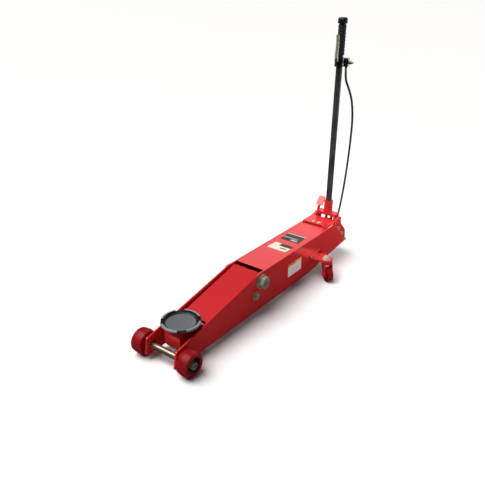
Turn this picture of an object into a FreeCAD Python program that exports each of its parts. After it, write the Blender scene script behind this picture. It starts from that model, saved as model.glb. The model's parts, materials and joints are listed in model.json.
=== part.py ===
import FreeCAD, Part
import Sketcher
import math
import os

# Long-chassis air-assisted hydraulic floor jack, millimetres, +X towards the saddle, +Z up.
# Stations along X are given from the front axle; the origin is on the floor at mid-length.
# The sheet "Sizes" drives every piece; change a cell and recompute, or change SIZES and run.

doc = FreeCAD.newDocument("FloorJack")
sheet = doc.addObject("Spreadsheet::Sheet", "Sizes")

SIZES = [
    # whole jack
    ("axle_station", 695.1, "front axle ahead of the origin"),
    ("frame_width", 180.0, "over the side plates"),
    ("plate_wall", 8.0, "side plate thickness"),
    ("fit_gap", 0.05, "radial running clearance of every pin"),
    ("side_gap", 0.4, "end float between turning pieces"),
    # side plate outline: distance ahead of (+) or behind the front axle, height over the floor
    ("nose_reach", 43.0, "front lower corner"),
    ("nose_low", 29.0, "height of that corner"),
    ("nose_top_reach", 28.0, "front upper corner"),
    ("nose_top", 109.0, "height of that corner"),
    ("bend_back", 552.0, "where the top edge levels out"),
    ("deck_height", 226.0, "top edge at the bend"),
    ("tail_deck_back", 1368.0, "rear end of the top edge"),
    ("tail_deck_height", 220.0, "top edge at the tail"),
    ("tail_slope_back", 1441.0, "lower end of the tail slope"),
    ("tail_slope_height", 145.0, "height there"),
    ("tail_back", 1451.0, "rearmost point"),
    ("tail_low", 70.0, "lower corner of the tail"),
    ("belly_low", 25.0, "bottom edge over the floor"),
    ("belly_back", 1050.0, "where the bottom edge starts to rise"),
    ("belly_mid_back", 1258.0, "knee of the rising edge"),
    ("belly_mid_low", 51.0, "height of the knee"),
    ("nose_foot", 29.0, "front end of the bottom edge"),
    ("corner_round", 6.0, "outline corner radius"),
    ("tie_bar_dia", 16.0, "lower cross bars"),
    ("tie_bar_height", 36.0, "lower cross bars"),
    ("front_tie_back", 300.0, "front cross bar behind the axle"),
    ("middle_tie_back", 700.0, "middle cross bar behind the axle"),
    # front wheels
    ("wheel_dia", 120.0, "front wheel"),
    ("wheel_width", 59.0, "over the rim"),
    ("wheel_gap", 15.0, "side plate to wheel"),
    ("wheel_recess", 14.0, "depth of the outer hub recess"),
    ("recess_dia", 72.0, "hub recess"),
    ("axle_dia", 30.0, "front axle"),
    ("axle_thread_dia", 20.0, "threaded ends"),
    ("collar_dia", 46.0, "spacer collar"),
    ("washer_thick", 3.0, "axle washer"),
    ("axle_nut_flats", 30.0, "axle nut across flats"),
    ("axle_nut_high", 14.0, "axle nut"),
    # lift arm
    ("pivot_back", 583.0, "arm pivot behind the axle"),
    ("pivot_height", 176.0, "arm pivot height"),
    ("pivot_dia", 40.0, "arm pivot shaft"),
    ("pivot_tube_dia", 70.0, "arm pivot tube"),
    ("arm_gap", 8.0, "arm cheek to side plate"),
    ("cheek_wall", 10.0, "arm cheek thickness"),
    ("arm_skin", 8.0, "arm top plate thickness"),
    ("arm_top_back", 578.0, "rear edge of the arm top plate"),
    ("arm_top_height", 224.0, "top plate at its rear edge"),
    ("arm_front_back", 195.0, "front edge of the arm top plate"),
    ("arm_front_height", 138.0, "top plate at its front edge"),
    ("pivot_washer_dia", 76.0, "large outer washer"),
    ("pivot_washer_thick", 6.0, "large outer washer"),
    ("pivot_nut_flats", 55.0, "castle nut across flats"),
    ("pivot_nut_high", 24.0, "castle nut"),
    ("pivot_slot", 6.0, "castle nut slot width"),
    # saddle end
    ("saddle_pin_back", 160.0, "saddle bracket pivot behind the axle"),
    ("saddle_pin_height", 118.0, "its height"),
    ("saddle_pin_dia", 28.0, "saddle bracket pivot"),
    ("bracket_top", 148.0, "top face of the saddle bracket"),
    ("saddle_back", 101.0, "saddle centre behind the axle"),
    ("saddle_dia", 180.0, "saddle rim"),
    ("saddle_top", 171.0, "rim height, lowered"),
    ("saddle_post_dia", 40.0, "saddle post"),
    ("post_low", 86.0, "lower end of the post"),
    ("notch_width", 40.0, "rim notch"),
    # levelling rods: the anchor's offset from the arm pivot is repeated at the saddle end
    ("rod_ahead", 51.0, "anchor ahead of the arm pivot"),
    ("rod_below", 58.0, "anchor below the arm pivot"),
    ("rod_pin_dia", 20.0, "anchor bolt"),
    ("rod_front_pin_dia", 18.0, "front rod pin"),
    ("rod_wall", 10.0, "rod thickness"),
    ("rod_depth", 22.0, "rod height"),
    ("rod_eye_dia", 36.0, "rod eye"),
    ("rod_gap", 6.0, "rod to arm cheek"),
    ("rod_side_gap", 2.0, "rod to saddle bracket"),
    # crank and ram
    ("crank_long", 100.0, "arm pivot to crank pin"),
    ("crank_lean", 29.0, "crank behind vertical, degrees, half the lift angle"),
    ("crank_pin_dia", 28.0, "pin between the cranks"),
    ("crank_wall", 16.0, "crank plate"),
    ("crank_gap", 2.0, "crank plate to crosshead"),
    ("ram_height", 84.0, "ram axis"),
    ("ram_dia", 42.0, "ram rod, no wider than the crosshead"),
    ("bore_dia", 66.0, "cylinder bore"),
    ("barrel_dia", 84.0, "cylinder barrel outside"),
    ("tank_dia", 108.0, "oil tank outside"),
    ("tank_wall", 4.0, "oil tank"),
    ("tank_front_back", 796.0, "front end of the tank"),
    ("tank_rear_back", 1170.0, "rear end of the tank"),
    ("slot_play", 0.9, "crank pin in the crosshead slot, each side"),
    ("crosshead_wide", 42.0, "crosshead"),
    ("cradle_wall", 12.0, "plates that carry the tank"),
    ("front_cradle_back", 845.0, "front one behind the axle"),
    ("rear_cradle_back", 1120.0, "rear one behind the axle"),
    # return springs, from posts on the arm to a cross bar over the tank
    ("spring_post_back", 26.0, "post behind the arm pivot"),
    ("spring_post_below", 45.0, "post below the arm pivot"),
    ("spring_post_dia", 10.0, "spring post"),
    ("spring_inset", 9.0, "spring axis inside the arm cheek"),
    ("spring_bar_back", 790.0, "spring bar behind the axle"),
    ("spring_bar_dia", 18.0, "spring bar"),
    ("spring_bar_gap", 5.0, "spring bar over the tank"),
    ("spring_dia", 11.0, "return spring, mean"),
    ("spring_wire", 2.6, "spring wire"),
    # pump and handle
    ("yoke_back", 1380.0, "handle pivot behind the axle"),
    ("yoke_height", 226.0, "handle pivot height"),
    ("yoke_pin_dia", 20.0, "handle pivot pins"),
    ("handle_lean", 1.0, "handle behind vertical at rest, degrees"),
    ("ear_width", 124.0, "over the yoke ears"),
    ("ear_wall", 12.0, "yoke ear"),
    ("tube_dia", 34.0, "handle tube"),
    ("tube_wall", 3.0, "handle tube"),
    ("socket_dia", 50.0, "yoke socket"),
    ("socket_top", 102.0, "socket mouth over the pivot"),
    ("handle_top", 1070.0, "end of the handle tube over the pivot"),
    ("grip_long", 150.0, "rubber grip"),
    ("grip_dia", 42.0, "rubber grip"),
    ("grip_inset", 4.0, "grip below the end of the tube"),
    ("valve_gap", 16.0, "air valve below the grip"),
    ("valve_high", 43.0, "air valve"),
    ("lever_wide", 16.0, "air lever"),
    ("lever_pin_dia", 5.0, "air lever pivot"),
    ("roller_radius", 12.0, "pump roller"),
    ("roller_arm", 32.0, "pump roller from the handle pivot"),
    ("roller_lean", 31.0, "roller behind the handle axis, degrees"),
    ("plunger_height", 196.0, "pump plunger axis"),
    ("plunger_dia", 20.0, "pump plunger"),
    ("cap_dia", 34.0, "cap that the roller presses"),
    ("cap_thick", 8.0, "that cap"),
    ("cap_gap", 0.4, "roller to cap"),
    ("pump_spring_dia", 27.0, "pump spring, mean"),
    ("block_front_back", 1170.0, "front of the pump block"),
    ("block_rear_back", 1262.0, "rear of the pump block"),
    ("block_width", 104.0, "pump block"),
    ("block_foot", 64.0, "underside of the pump block"),
    ("block_shoulder", 150.0, "top of its wide part"),
    ("neck_width", 52.0, "pump block beside the plunger"),
    ("neck_cover", 17.0, "pump block over the plunger axis"),
    ("motor_dia", 50.0, "air motor"),
    ("motor_out", 36.0, "air motor from the middle plane"),
    ("release_out", 36.0, "release valve from the middle plane"),
    ("release_height", 110.0, "release valve"),
    ("release_dia", 16.0, "release valve"),
    # handle bracket and rear bolts
    ("deck_seat", 222.0, "underside of the bracket's deck"),
    ("deck_wall", 9.0, "bracket's deck"),
    ("deck_gap", 4.0, "deck behind the top cover"),
    ("deck_bolt_dia", 12.0, "deck bolts"),
    ("deck_bolt_out", 17.0, "deck bolts from the middle plane"),
    ("deck_bolt_edge", 11.0, "deck bolts ahead of the block's rear face"),
    ("rear_bolt_dia", 12.0, "bolts through the side plates"),
    ("upper_bolt_back", 1350.0, "upper rear bolt behind the axle"),
    ("upper_bolt_height", 185.0, "upper rear bolt"),
    ("middle_bolt_back", 1393.0, "middle rear bolt behind the axle"),
    ("middle_bolt_height", 137.0, "middle rear bolt"),
    ("lower_bolt_back", 1437.0, "lower rear bolt behind the axle"),
    ("lower_bolt_height", 84.0, "lower rear bolt"),
    # casters
    ("kingpin_back", 1083.0, "caster pivot behind the axle"),
    ("kingpin_reach", 80.0, "caster pivot outside the side plate"),
    ("kingpin_dia", 20.0, "caster pivot"),
    ("caster_plate_low", 106.0, "underside of the caster bracket"),
    ("caster_plate_thick", 12.0, "caster bracket"),
    ("caster_boss", 34.0, "rounded outer end of the bracket, radius"),
    ("caster_flange", 12.0, "flange and rib over the bracket"),
    ("caster_ahead", 46.0, "bracket root ahead of the caster pivot"),
    ("caster_behind", 67.0, "bracket root behind the caster pivot"),
    ("caster_trail", 30.0, "wheel axle from the caster pivot"),
    ("caster_dia", 80.0, "caster wheel"),
    ("caster_width", 32.0, "caster wheel"),
    ("caster_axle_dia", 16.0, "caster wheel axle"),
    ("caster_turn", 55.0, "casters at rest, degrees off the long axis"),
    # cover
    ("cover_front_back", 614.0, "front edge of the top cover"),
    ("cover_rear_back", 1234.0, "rear edge of the top cover"),
    ("cover_wall", 5.0, "top cover"),
    ("cover_sink", 0.6, "cover below the plates' top edge"),
]


class Size:
    """A number together with the sheet formula that gives it."""

    def __init__(self, value, text=None):
        self.value = float(value)
        self.text = text if text is not None else "(%r)" % float(value)

    def __add__(self, other):
        other = size(other)
        return Size(self.value + other.value, "(%s + %s)" % (self.text, other.text))

    def __sub__(self, other):
        other = size(other)
        return Size(self.value - other.value, "(%s - %s)" % (self.text, other.text))

    def __mul__(self, other):
        other = size(other)
        return Size(self.value * other.value, "(%s * %s)" % (self.text, other.text))

    def __truediv__(self, other):
        other = size(other)
        return Size(self.value / other.value, "(%s / %s)" % (self.text, other.text))

    def __neg__(self):
        return Size(0) - self

    __radd__ = __add__
    __rmul__ = __mul__

    def __rsub__(self, other):
        return size(other) - self


def size(number):
    """A Size, from a Size or a plain number."""
    return number if isinstance(number, Size) else Size(number)


def sine(angle):
    return Size(math.sin(math.radians(angle.value)), "sin(%s * 1deg)" % angle.text)


def cosine(angle):
    return Size(math.cos(math.radians(angle.value)), "cos(%s * 1deg)" % angle.text)


def root(square):
    return Size(math.sqrt(square.value), "sqrt(%s)" % square.text)


def bearing(ahead, up):
    """Angle in degrees from vertical towards +X."""
    value = math.degrees(math.atan2(ahead.value, up.value))
    return Size(value, "(atan2(%s; %s) / 1deg)" % (ahead.text, up.text))


class Sheet:
    """The named sizes, read as attributes."""

    def __init__(self, rows):
        sheet.set("A1", "size")
        sheet.set("B1", "value")
        sheet.set("C1", "note")
        for row, (alias, value, note) in enumerate(rows, start=2):
            sheet.set("A%d" % row, alias)
            sheet.set("B%d" % row, "%g" % value)
            sheet.set("C%d" % row, note)
            sheet.setAlias("B%d" % row, alias)
            setattr(self, alias, Size(value, "Sizes." + alias))


z = Sheet(SIZES)
doc.recompute()

PIECES = {}


def bind(thing, path, amount):
    """Tie one property of an object to the sheet."""
    thing.setExpression(path, size(amount).text)


def place(thing, x=0, y=0, height=0, about=None, angle=0):
    """Stand an object at a station behind (-) or ahead (+) of the front axle."""
    x, y, height, angle = size(x), size(y), size(height), size(angle)
    base = FreeCAD.Vector(x.value + z.axle_station.value, y.value, height.value)
    spin = FreeCAD.Rotation(about or FreeCAD.Vector(0, 0, 1), angle.value)
    thing.Placement = FreeCAD.Placement(base, spin)
    bind(thing, "Placement.Base.x", z.axle_station + x)
    bind(thing, "Placement.Base.y", y)
    bind(thing, "Placement.Base.z", height)
    if about is not None:
        bind(thing, "Placement.Rotation.Angle", angle)


class Piece:
    """One PartDesign body, made feature by feature."""

    def __init__(self, label, named=True):
        self.body = doc.addObject("PartDesign::Body", label)
        self.body.Label = label
        self.last = None
        if named:
            PIECES[label] = self.body

    def plane(self, role):
        return [f for f in self.body.Origin.OriginFeatures if f.Role == role][0]

    def sketch(self, role, shapes, shift=0):
        """A sketch of polygons (lists of points) and circles (x, y, radius)."""
        made = self.body.newObject("Sketcher::SketchObject", self.body.Name + "_sketch")
        made.AttachmentSupport = (self.plane(role), [""])
        made.MapMode = "FlatFace"
        shift = size(shift)
        made.AttachmentOffset = FreeCAD.Placement(FreeCAD.Vector(0, 0, shift.value), FreeCAD.Rotation())
        bind(made, "AttachmentOffset.Base.z", shift)
        for shape in shapes:
            if isinstance(shape, tuple):
                self.circle(made, *shape)
            else:
                self.polygon(made, shape)
        return made

    def hold(self, made, kind, geometry, point, amount):
        amount = size(amount)
        if point is None:
            rule = Sketcher.Constraint(kind, geometry, amount.value)
        else:
            rule = Sketcher.Constraint(kind, -1, 1, geometry, point, amount.value)
        index = made.addConstraint(rule)
        made.setExpression("Constraints[%d]" % index, amount.text)

    def polygon(self, made, points):
        points = [(size(a), size(b)) for a, b in points]
        ends = [FreeCAD.Vector(a.value, b.value, 0) for a, b in points]
        first = made.GeometryCount
        for start, end in zip(ends, ends[1:] + ends[:1]):
            made.addGeometry(Part.LineSegment(start, end), False)
        for n, (a, b) in enumerate(points):
            line = first + n
            before = first + (n - 1) % len(points)
            made.addConstraint(Sketcher.Constraint("Coincident", before, 2, line, 1))
            self.hold(made, "DistanceX", line, 1, a)
            self.hold(made, "DistanceY", line, 1, b)

    def circle(self, made, a, b, radius):
        a, b, radius = size(a), size(b), size(radius)
        centre = FreeCAD.Vector(a.value, b.value, 0)
        line = made.addGeometry(Part.Circle(centre, FreeCAD.Vector(0, 0, 1), radius.value), False)
        self.hold(made, "DistanceX", line, 3, a)
        self.hold(made, "DistanceY", line, 3, b)
        self.hold(made, "Radius", line, None, radius)

    def extrude(self, kind, role, shapes, length, shift=0):
        """A pad or pocket, half to each side of the sketch."""
        made = self.sketch(role, shapes, shift)
        feature = self.body.newObject("PartDesign::" + kind, self.body.Name + "_" + kind.lower())
        feature.Profile = made
        feature.Midplane = True
        feature.Length = size(length).value
        bind(feature, "Length", length)
        made.Visibility = False
        doc.recompute()
        self.body.Tip = feature
        self.last = feature
        return self

    def pad(self, role, shapes, length, shift=0):
        return self.extrude("Pad", role, shapes, length, shift)

    def pocket(self, role, shapes, length, shift=0):
        return self.extrude("Pocket", role, shapes, length, shift)

    def turn(self, shapes, role="XY_Plane", axis="V_Axis", kind="Revolution"):
        """A revolution (or groove) about an axis of the sketch."""
        made = self.sketch(role, shapes)
        feature = self.body.newObject("PartDesign::" + kind, self.body.Name + "_" + kind.lower())
        feature.Profile = made
        feature.ReferenceAxis = (made, [axis])
        feature.Angle = 360
        made.Visibility = False
        doc.recompute()
        self.body.Tip = feature
        self.last = feature
        return self

    def edges(self, wanted):
        """Names of the last feature's edges for which wanted(edge) holds."""
        doc.recompute()
        found = enumerate(self.last.Shape.Edges, start=1)
        return ["Edge%d" % n for n, edge in found if wanted(edge)]

    def soften(self, kind, wanted, amount):
        """A fillet or chamfer on the wanted edges."""
        names = self.edges(wanted)
        if not names:
            raise ValueError("no edge to soften on " + self.body.Label)
        feature = self.body.newObject("PartDesign::" + kind, self.body.Name + "_" + kind.lower())
        feature.Base = (self.last, names)
        path = "Radius" if kind == "Fillet" else "Size"
        setattr(feature, path, size(amount).value)
        bind(feature, path, amount)
        doc.recompute()
        self.body.Tip = feature
        self.last = feature
        return self

    def repeat(self, count):
        """The last feature, repeated round the body's vertical axis."""
        pattern = self.body.newObject("PartDesign::PolarPattern", self.body.Name + "_pattern")
        pattern.Originals = [self.last]
        pattern.Axis = (self.plane("Z_Axis"), [""])
        pattern.Angle = 360
        pattern.Occurrences = count
        self.body.Tip = pattern
        doc.recompute()
        self.last = pattern
        return self

    def at(self, x=0, y=0, height=0, about=None, angle=0):
        place(self.body, x, y, height, about, angle)
        return self


def straight(edge, direction):
    """Is this a straight edge along a direction?"""
    if edge.Curve.TypeId != "Part::GeomLine":
        return False
    along = edge.Curve.Direction
    return abs(abs(along.dot(direction)) - 1) < 1e-6


def hoop(edge, radius):
    """Is this a circle of that radius, about the long or the cross axis?"""
    return abs(edge.BoundBox.DiagonalLength - math.sqrt(8) * radius.value) < 0.01


ALONG_X = FreeCAD.Vector(1, 0, 0)
ALONG_Y = FreeCAD.Vector(0, 1, 0)
ALONG_Z = FreeCAD.Vector(0, 0, 1)


def ring(inner, outer, low, high):
    """Profile of a ring: radius along X, length along Y."""
    return [(inner, low), (outer, low), (outer, high), (inner, high)]


def hexagon(flats, x=0, y=0):
    corner = flats / root(size(3))
    half = flats / 2
    return [
        (size(x) + corner, size(y)),
        (size(x) + corner / 2, size(y) + half),
        (size(x) - corner / 2, size(y) + half),
        (size(x) - corner, size(y)),
        (size(x) - corner / 2, size(y) - half),
        (size(x) + corner / 2, size(y) - half),
    ]


def group(label, members):
    """Several solids kept as one named piece."""
    made = doc.addObject("Part::Compound", label)
    made.Label = label
    made.Links = [m.body if isinstance(m, Piece) else m for m in members]
    doc.recompute()
    PIECES[label] = made
    return made


def both_sides(label, piece):
    """A left-hand piece and its mirror image, as one named piece."""
    mirror = doc.addObject("Part::Mirroring", label + "_mirrored")
    mirror.Source = piece.body
    mirror.Normal = ALONG_Y
    mirror.Base = FreeCAD.Vector(0, 0, 0)
    return group(label, [piece, mirror])


half_in = z.frame_width / 2 - z.plate_wall
half_out = z.frame_width / 2
inner_width = z.frame_width - z.plate_wall * 2
arm_width = inner_width - z.arm_gap * 2
fit = z.fit_gap
axle_height = z.wheel_dia / 2


def deck_at(back):
    """Height of the side plates' top edge at a distance behind the front axle."""
    fall = (z.deck_height - z.tail_deck_height) / (z.tail_deck_back - z.bend_back)
    return z.deck_height - (size(back) - z.bend_back) * fall


# ---------------------------------------------------------------- chassis plates and front axle

upper_bolt = (-z.upper_bolt_back, z.upper_bolt_height)
middle_bolt = (-z.middle_bolt_back, z.middle_bolt_height)
lower_bolt = (-z.lower_bolt_back, z.lower_bolt_height)
rear_hole = z.rear_bolt_dia / 2 + fit

plate_outline = [
    (z.nose_reach, z.nose_low),
    (z.nose_top_reach, z.nose_top),
    (-z.bend_back, z.deck_height),
    (-z.tail_deck_back, z.tail_deck_height),
    (-z.tail_slope_back, z.tail_slope_height),
    (-z.tail_back, z.tail_low),
    (-z.belly_mid_back, z.belly_mid_low),
    (-z.belly_back, z.belly_low),
    (z.nose_foot, z.belly_low),
]
rod_anchor = (-z.pivot_back + z.rod_ahead, z.pivot_height - z.rod_below)
rod_front = (-z.saddle_pin_back + z.rod_ahead, z.saddle_pin_height - z.rod_below)
plate_holes = [
    (size(0), axle_height, z.axle_dia / 2 + fit),
    (-z.pivot_back, z.pivot_height, z.pivot_dia / 2 + fit),
    (rod_anchor[0], rod_anchor[1], z.rod_pin_dia / 2 + fit),
]
plate_holes += [(*bolt, rear_hole) for bolt in (upper_bolt, middle_bolt, lower_bolt)]
for side, label in ((1, "side_plate_left"), (-1, "side_plate_right")):
    plate = Piece(label).pad("XZ_Plane", [plate_outline], z.plate_wall)
    plate.soften("Fillet", lambda e: straight(e, ALONG_Y), z.corner_round)
    plate.pocket("XZ_Plane", plate_holes, z.plate_wall * 3)
    plate.at(0, (half_out - z.plate_wall / 2) * side, 0)

wheel_in = half_out + z.wheel_gap
wheel_mid = wheel_in + z.wheel_width / 2
hub_face = z.wheel_width / 2 - z.wheel_recess
nut_foot = wheel_mid + hub_face + z.side_gap
thread = z.axle_thread_dia / 2
axle_end = nut_foot + z.washer_thick + z.axle_nut_high + 3
axle_profile = [
    (0, -axle_end),
    (thread, -axle_end),
    (thread, -nut_foot),
    (z.axle_dia / 2, -nut_foot),
    (z.axle_dia / 2, nut_foot),
    (thread, nut_foot),
    (thread, axle_end),
    (0, axle_end),
]
axle = Piece("front_axle").turn([axle_profile])
axle.soften("Chamfer", lambda e: abs(abs(e.BoundBox.Center.y) - axle_end.value) < 0.01
            and e.BoundBox.XLength > z.axle_thread_dia.value - 1, 1.5)
axle.at(0, 0, axle_height)

collar = Piece("axle_collar_left", named=False)
collar.turn([ring(z.axle_dia / 2 + fit, z.collar_dia / 2, half_out, wheel_in - z.side_gap)])
collar.at(0, 0, axle_height)
both_sides("axle_collars", collar)

washer = Piece("axle_washer_left", named=False)
washer.turn([ring(thread + fit, z.axle_nut_flats / 2 + 3, nut_foot, nut_foot + z.washer_thick)])
washer.at(0, 0, axle_height)
both_sides("axle_washers", washer)

nut = Piece("axle_nut_left", named=False)
nut_mid = nut_foot + z.washer_thick + z.axle_nut_high / 2
nut.pad("XZ_Plane", [hexagon(z.axle_nut_flats), (0, 0, thread + fit)], z.axle_nut_high)
nut.at(0, nut_mid, axle_height)
both_sides("axle_nuts", nut)

wheel_bore = z.axle_dia / 2 + fit
rim = z.wheel_dia / 2
half_wheel = z.wheel_width / 2
wheel_profile = [
    (wheel_bore, -half_wheel),
    (rim - 9, -half_wheel),
    (rim - 2.5, 4 - half_wheel),
    (rim, 11 - half_wheel),
    (rim, half_wheel - 11),
    (rim - 2.5, half_wheel - 4),
    (rim - 9, half_wheel),
    (z.recess_dia / 2 + 2, half_wheel),
    (z.recess_dia / 2, half_wheel - 2),
    (z.recess_dia / 2 - 4, hub_face),
    (wheel_bore, hub_face),
]
for side, label in ((1, "left"), (-1, "right")):
    turned = 0 if side == 1 else 180
    wheel = Piece("front_wheel_" + label).turn([wheel_profile])
    wheel.soften("Fillet", lambda e: hoop(e, rim - 9), 2.5)
    wheel.at(0, wheel_mid * side, axle_height, ALONG_X, turned)

spring_bar_height = z.ram_height + z.tank_dia / 2 + z.spring_bar_gap + z.spring_bar_dia / 2
tie_bars = []
for label, back, up, across in (
        ("front_bar", z.front_tie_back, z.tie_bar_height, z.tie_bar_dia),
        ("middle_bar", z.middle_tie_back, z.tie_bar_height, z.tie_bar_dia),
        ("spring_bar", z.spring_bar_back, spring_bar_height, z.spring_bar_dia)):
    bar = Piece(label, named=False)
    bar.pad("XZ_Plane", [(0, 0, across / 2)], inner_width)
    bar.at(-back, 0, up)
    tie_bars.append(bar)
group("frame_tie_bars", tie_bars)

# ---------------------------------------------------------------- arm pivot and rod anchors

washer_end = half_out + z.pivot_washer_thick
nut_end = washer_end + z.pivot_nut_high
shaft_end = nut_end + 5
shaft = Piece("pivot_shaft")
shaft.turn([[(0, -shaft_end), (z.pivot_dia / 2 - 2, -shaft_end), (z.pivot_dia / 2, 2 - shaft_end),
             (z.pivot_dia / 2, shaft_end - 2), (z.pivot_dia / 2 - 2, shaft_end), (0, shaft_end)]])
shaft.pocket("YZ_Plane", [(nut_end - 3, 0, z.pivot_slot / 2), (3 - nut_end, 0, z.pivot_slot / 2)],
             z.pivot_dia * 2)
shaft.at(-z.pivot_back, 0, z.pivot_height)

washer = Piece("pivot_washer_left", named=False)
washer.turn([ring(z.pivot_dia / 2 + fit, z.pivot_washer_dia / 2, half_out, washer_end)])
washer.soften("Chamfer", lambda e: e.BoundBox.YLength < 0.01
              and e.BoundBox.XLength > z.pivot_washer_dia.value - 1
              and e.BoundBox.Center.y > half_out.value + 1, 2)
washer.at(-z.pivot_back, 0, z.pivot_height)
both_sides("pivot_washers", washer)

nut = Piece("pivot_nut_left", named=False)
nut.pad("XZ_Plane", [hexagon(z.pivot_nut_flats), (0, 0, z.pivot_dia / 2 + fit)], z.pivot_nut_high)
slots = z.pivot_nut_flats + 20
nut.pocket("XZ_Plane", [[(-slots / 2, -z.pivot_slot / 2), (slots / 2, -z.pivot_slot / 2),
                         (slots / 2, z.pivot_slot / 2), (-slots / 2, z.pivot_slot / 2)]],
           14, -z.pivot_nut_high / 2)
nut.pocket("XZ_Plane", [[(-z.pivot_slot / 2, -slots / 2), (z.pivot_slot / 2, -slots / 2),
                         (z.pivot_slot / 2, slots / 2), (-z.pivot_slot / 2, slots / 2)]],
           14, -z.pivot_nut_high / 2)
nut.at(-z.pivot_back, washer_end + z.pivot_nut_high / 2, z.pivot_height)
both_sides("pivot_nuts", nut)

pin_radius = z.pivot_slot / 2 - 0.1
pin = Piece("split_pin_left", named=False)
pin.pad("YZ_Plane", [(nut_end - 3, 0, pin_radius)], z.pivot_nut_flats + 2)
pin.at(-z.pivot_back, 0, z.pivot_height)
both_sides("split_pins", pin)

cheek_mid = arm_width / 2 - z.cheek_wall / 2
cheek_in = arm_width / 2 - z.cheek_wall
rod_centre = cheek_in - z.rod_gap - z.rod_wall / 2
rod_inner = rod_centre - z.rod_wall / 2
anchor = Piece("link_anchor_left", named=False)
radius = z.rod_pin_dia / 2
anchor.turn([[(0, rod_inner - 6), (radius + 4, rod_inner - 6), (radius + 4, rod_inner - 1),
              (radius, rod_inner - 1), (radius, half_out), (radius + 12, half_out),
              (radius + 12, half_out + 4), (0, half_out + 4)]])
anchor.pad("XZ_Plane", [hexagon(size(30))], 12, -(half_out + 10))
anchor.at(rod_anchor[0], 0, rod_anchor[1])
both_sides("link_anchor_bolts", anchor)

# ---------------------------------------------------------------- lift arm

under_rear = (-z.arm_top_back, z.arm_top_height - z.arm_skin)
under_front = (-z.arm_front_back, z.arm_front_height - z.arm_skin)
cheek_outline = [
    under_rear,
    under_front,
    (-z.saddle_pin_back - 22, z.saddle_pin_height + 12),
    (-z.saddle_pin_back - 22, z.saddle_pin_height - 22),
    (-z.pivot_back + 283, z.pivot_height - 76),
    (-z.pivot_back + 83, z.pivot_height - 52),
    (-z.pivot_back + 48, z.pivot_height - 40),
    (-z.pivot_back - 10, z.pivot_height - 40),
    (-z.pivot_back - 36, z.pivot_height - 10),
    (-z.pivot_back - 20, z.pivot_height + 34),
]
post_at = (-z.pivot_back - z.spring_post_back, z.pivot_height - z.spring_post_below)
post_boss = z.spring_post_dia / 2 + 4
post_long = z.spring_inset * 2
lug_outline = [
    (-z.pivot_back - 36, z.pivot_height - 10),
    (post_at[0] - post_boss, post_at[1]),
    (post_at[0] + post_boss, post_at[1]),
    (-z.pivot_back + 8, z.pivot_height - 36),
]
cheek = Piece("arm_cheek_left", named=False)
cheek.pad("XZ_Plane", [cheek_outline], z.cheek_wall)
cheek.pad("XZ_Plane", [(-z.saddle_pin_back, z.saddle_pin_height, 24)], z.cheek_wall)
cheek.pad("XZ_Plane", [(-z.pivot_back, z.pivot_height, z.pivot_tube_dia / 2 + 4)], z.cheek_wall)
cheek.pad("XZ_Plane", [lug_outline], z.cheek_wall)
cheek.pad("XZ_Plane", [(post_at[0], post_at[1], post_boss)], z.cheek_wall)
cheek.pad("XZ_Plane", [(post_at[0], post_at[1], z.spring_post_dia / 2)], post_long,
          post_long / 2 + z.cheek_wall / 2 - 0.5)
cheek.pocket("XZ_Plane", [(-z.saddle_pin_back, z.saddle_pin_height, z.saddle_pin_dia / 2 + fit),
                          (-z.pivot_back, z.pivot_height, z.pivot_dia / 2 + fit)], z.cheek_wall * 2)
cheek.at(0, cheek_mid, 0)
both_sides("lift_arm_cheeks", cheek)

top_outline = [(-z.arm_top_back, z.arm_top_height), (-z.arm_front_back, z.arm_front_height),
               under_front, under_rear]
top_plate = Piece("lift_arm_top_plate")
top_plate.pad("XZ_Plane", [top_outline], arm_width)
top_plate.at()

tube = Piece("arm_pivot_tube")
tube.turn([ring(z.pivot_dia / 2 + fit, z.pivot_tube_dia / 2, -cheek_in, cheek_in)])
tube.at(-z.pivot_back, 0, z.pivot_height)

crank_centre = z.crosshead_wide / 2 + z.crank_gap + z.crank_wall / 2
crank_pin_at = (-z.pivot_back - z.crank_long * sine(z.crank_lean),
                z.pivot_height - z.crank_long * cosine(z.crank_lean))
crank = Piece("lift_crank_left", named=False)
crank.pad("XZ_Plane", [(-z.pivot_back, z.pivot_height, z.pivot_tube_dia / 2 + 4)], z.crank_wall)
crank.pad("XZ_Plane", [(crank_pin_at[0], crank_pin_at[1], z.crank_pin_dia / 2 + 12)], z.crank_wall)
wide_top = size(36)
wide_low = size(24)
crank.pad("XZ_Plane", [[
    (-z.pivot_back - wide_top * cosine(z.crank_lean), z.pivot_height + wide_top * sine(z.crank_lean)),
    (crank_pin_at[0] - wide_low * cosine(z.crank_lean), crank_pin_at[1] + wide_low * sine(z.crank_lean)),
    (crank_pin_at[0] + wide_low * cosine(z.crank_lean), crank_pin_at[1] - wide_low * sine(z.crank_lean)),
    (-z.pivot_back + wide_top * cosine(z.crank_lean), z.pivot_height - wide_top * sine(z.crank_lean)),
]], z.crank_wall)
crank.pocket("XZ_Plane", [(-z.pivot_back, z.pivot_height, z.pivot_tube_dia / 2 + fit),
                          (crank_pin_at[0], crank_pin_at[1], z.crank_pin_dia / 2 + fit)],
             z.crank_wall * 2)
crank.at(0, crank_centre, 0)
both_sides("lift_cranks", crank)

crank_pin = Piece("crank_pin")
crank_pin_long = (crank_centre + z.crank_wall / 2 + 4) * 2
crank_pin.pad("XZ_Plane", [(0, 0, z.crank_pin_dia / 2)], crank_pin_long)
crank_pin.at(crank_pin_at[0], 0, crank_pin_at[1])

saddle_pin = Piece("saddle_bracket_pin")
pin_half = arm_width / 2 + 4
saddle_pin.pad("XZ_Plane", [(0, 0, z.saddle_pin_dia / 2)], pin_half * 2)
saddle_pin.soften("Chamfer", lambda e: e.BoundBox.YLength < 0.01, 2)
saddle_pin.at(-z.saddle_pin_back, 0, z.saddle_pin_height)

# ---------------------------------------------------------------- saddle bracket, saddle and rods

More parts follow.
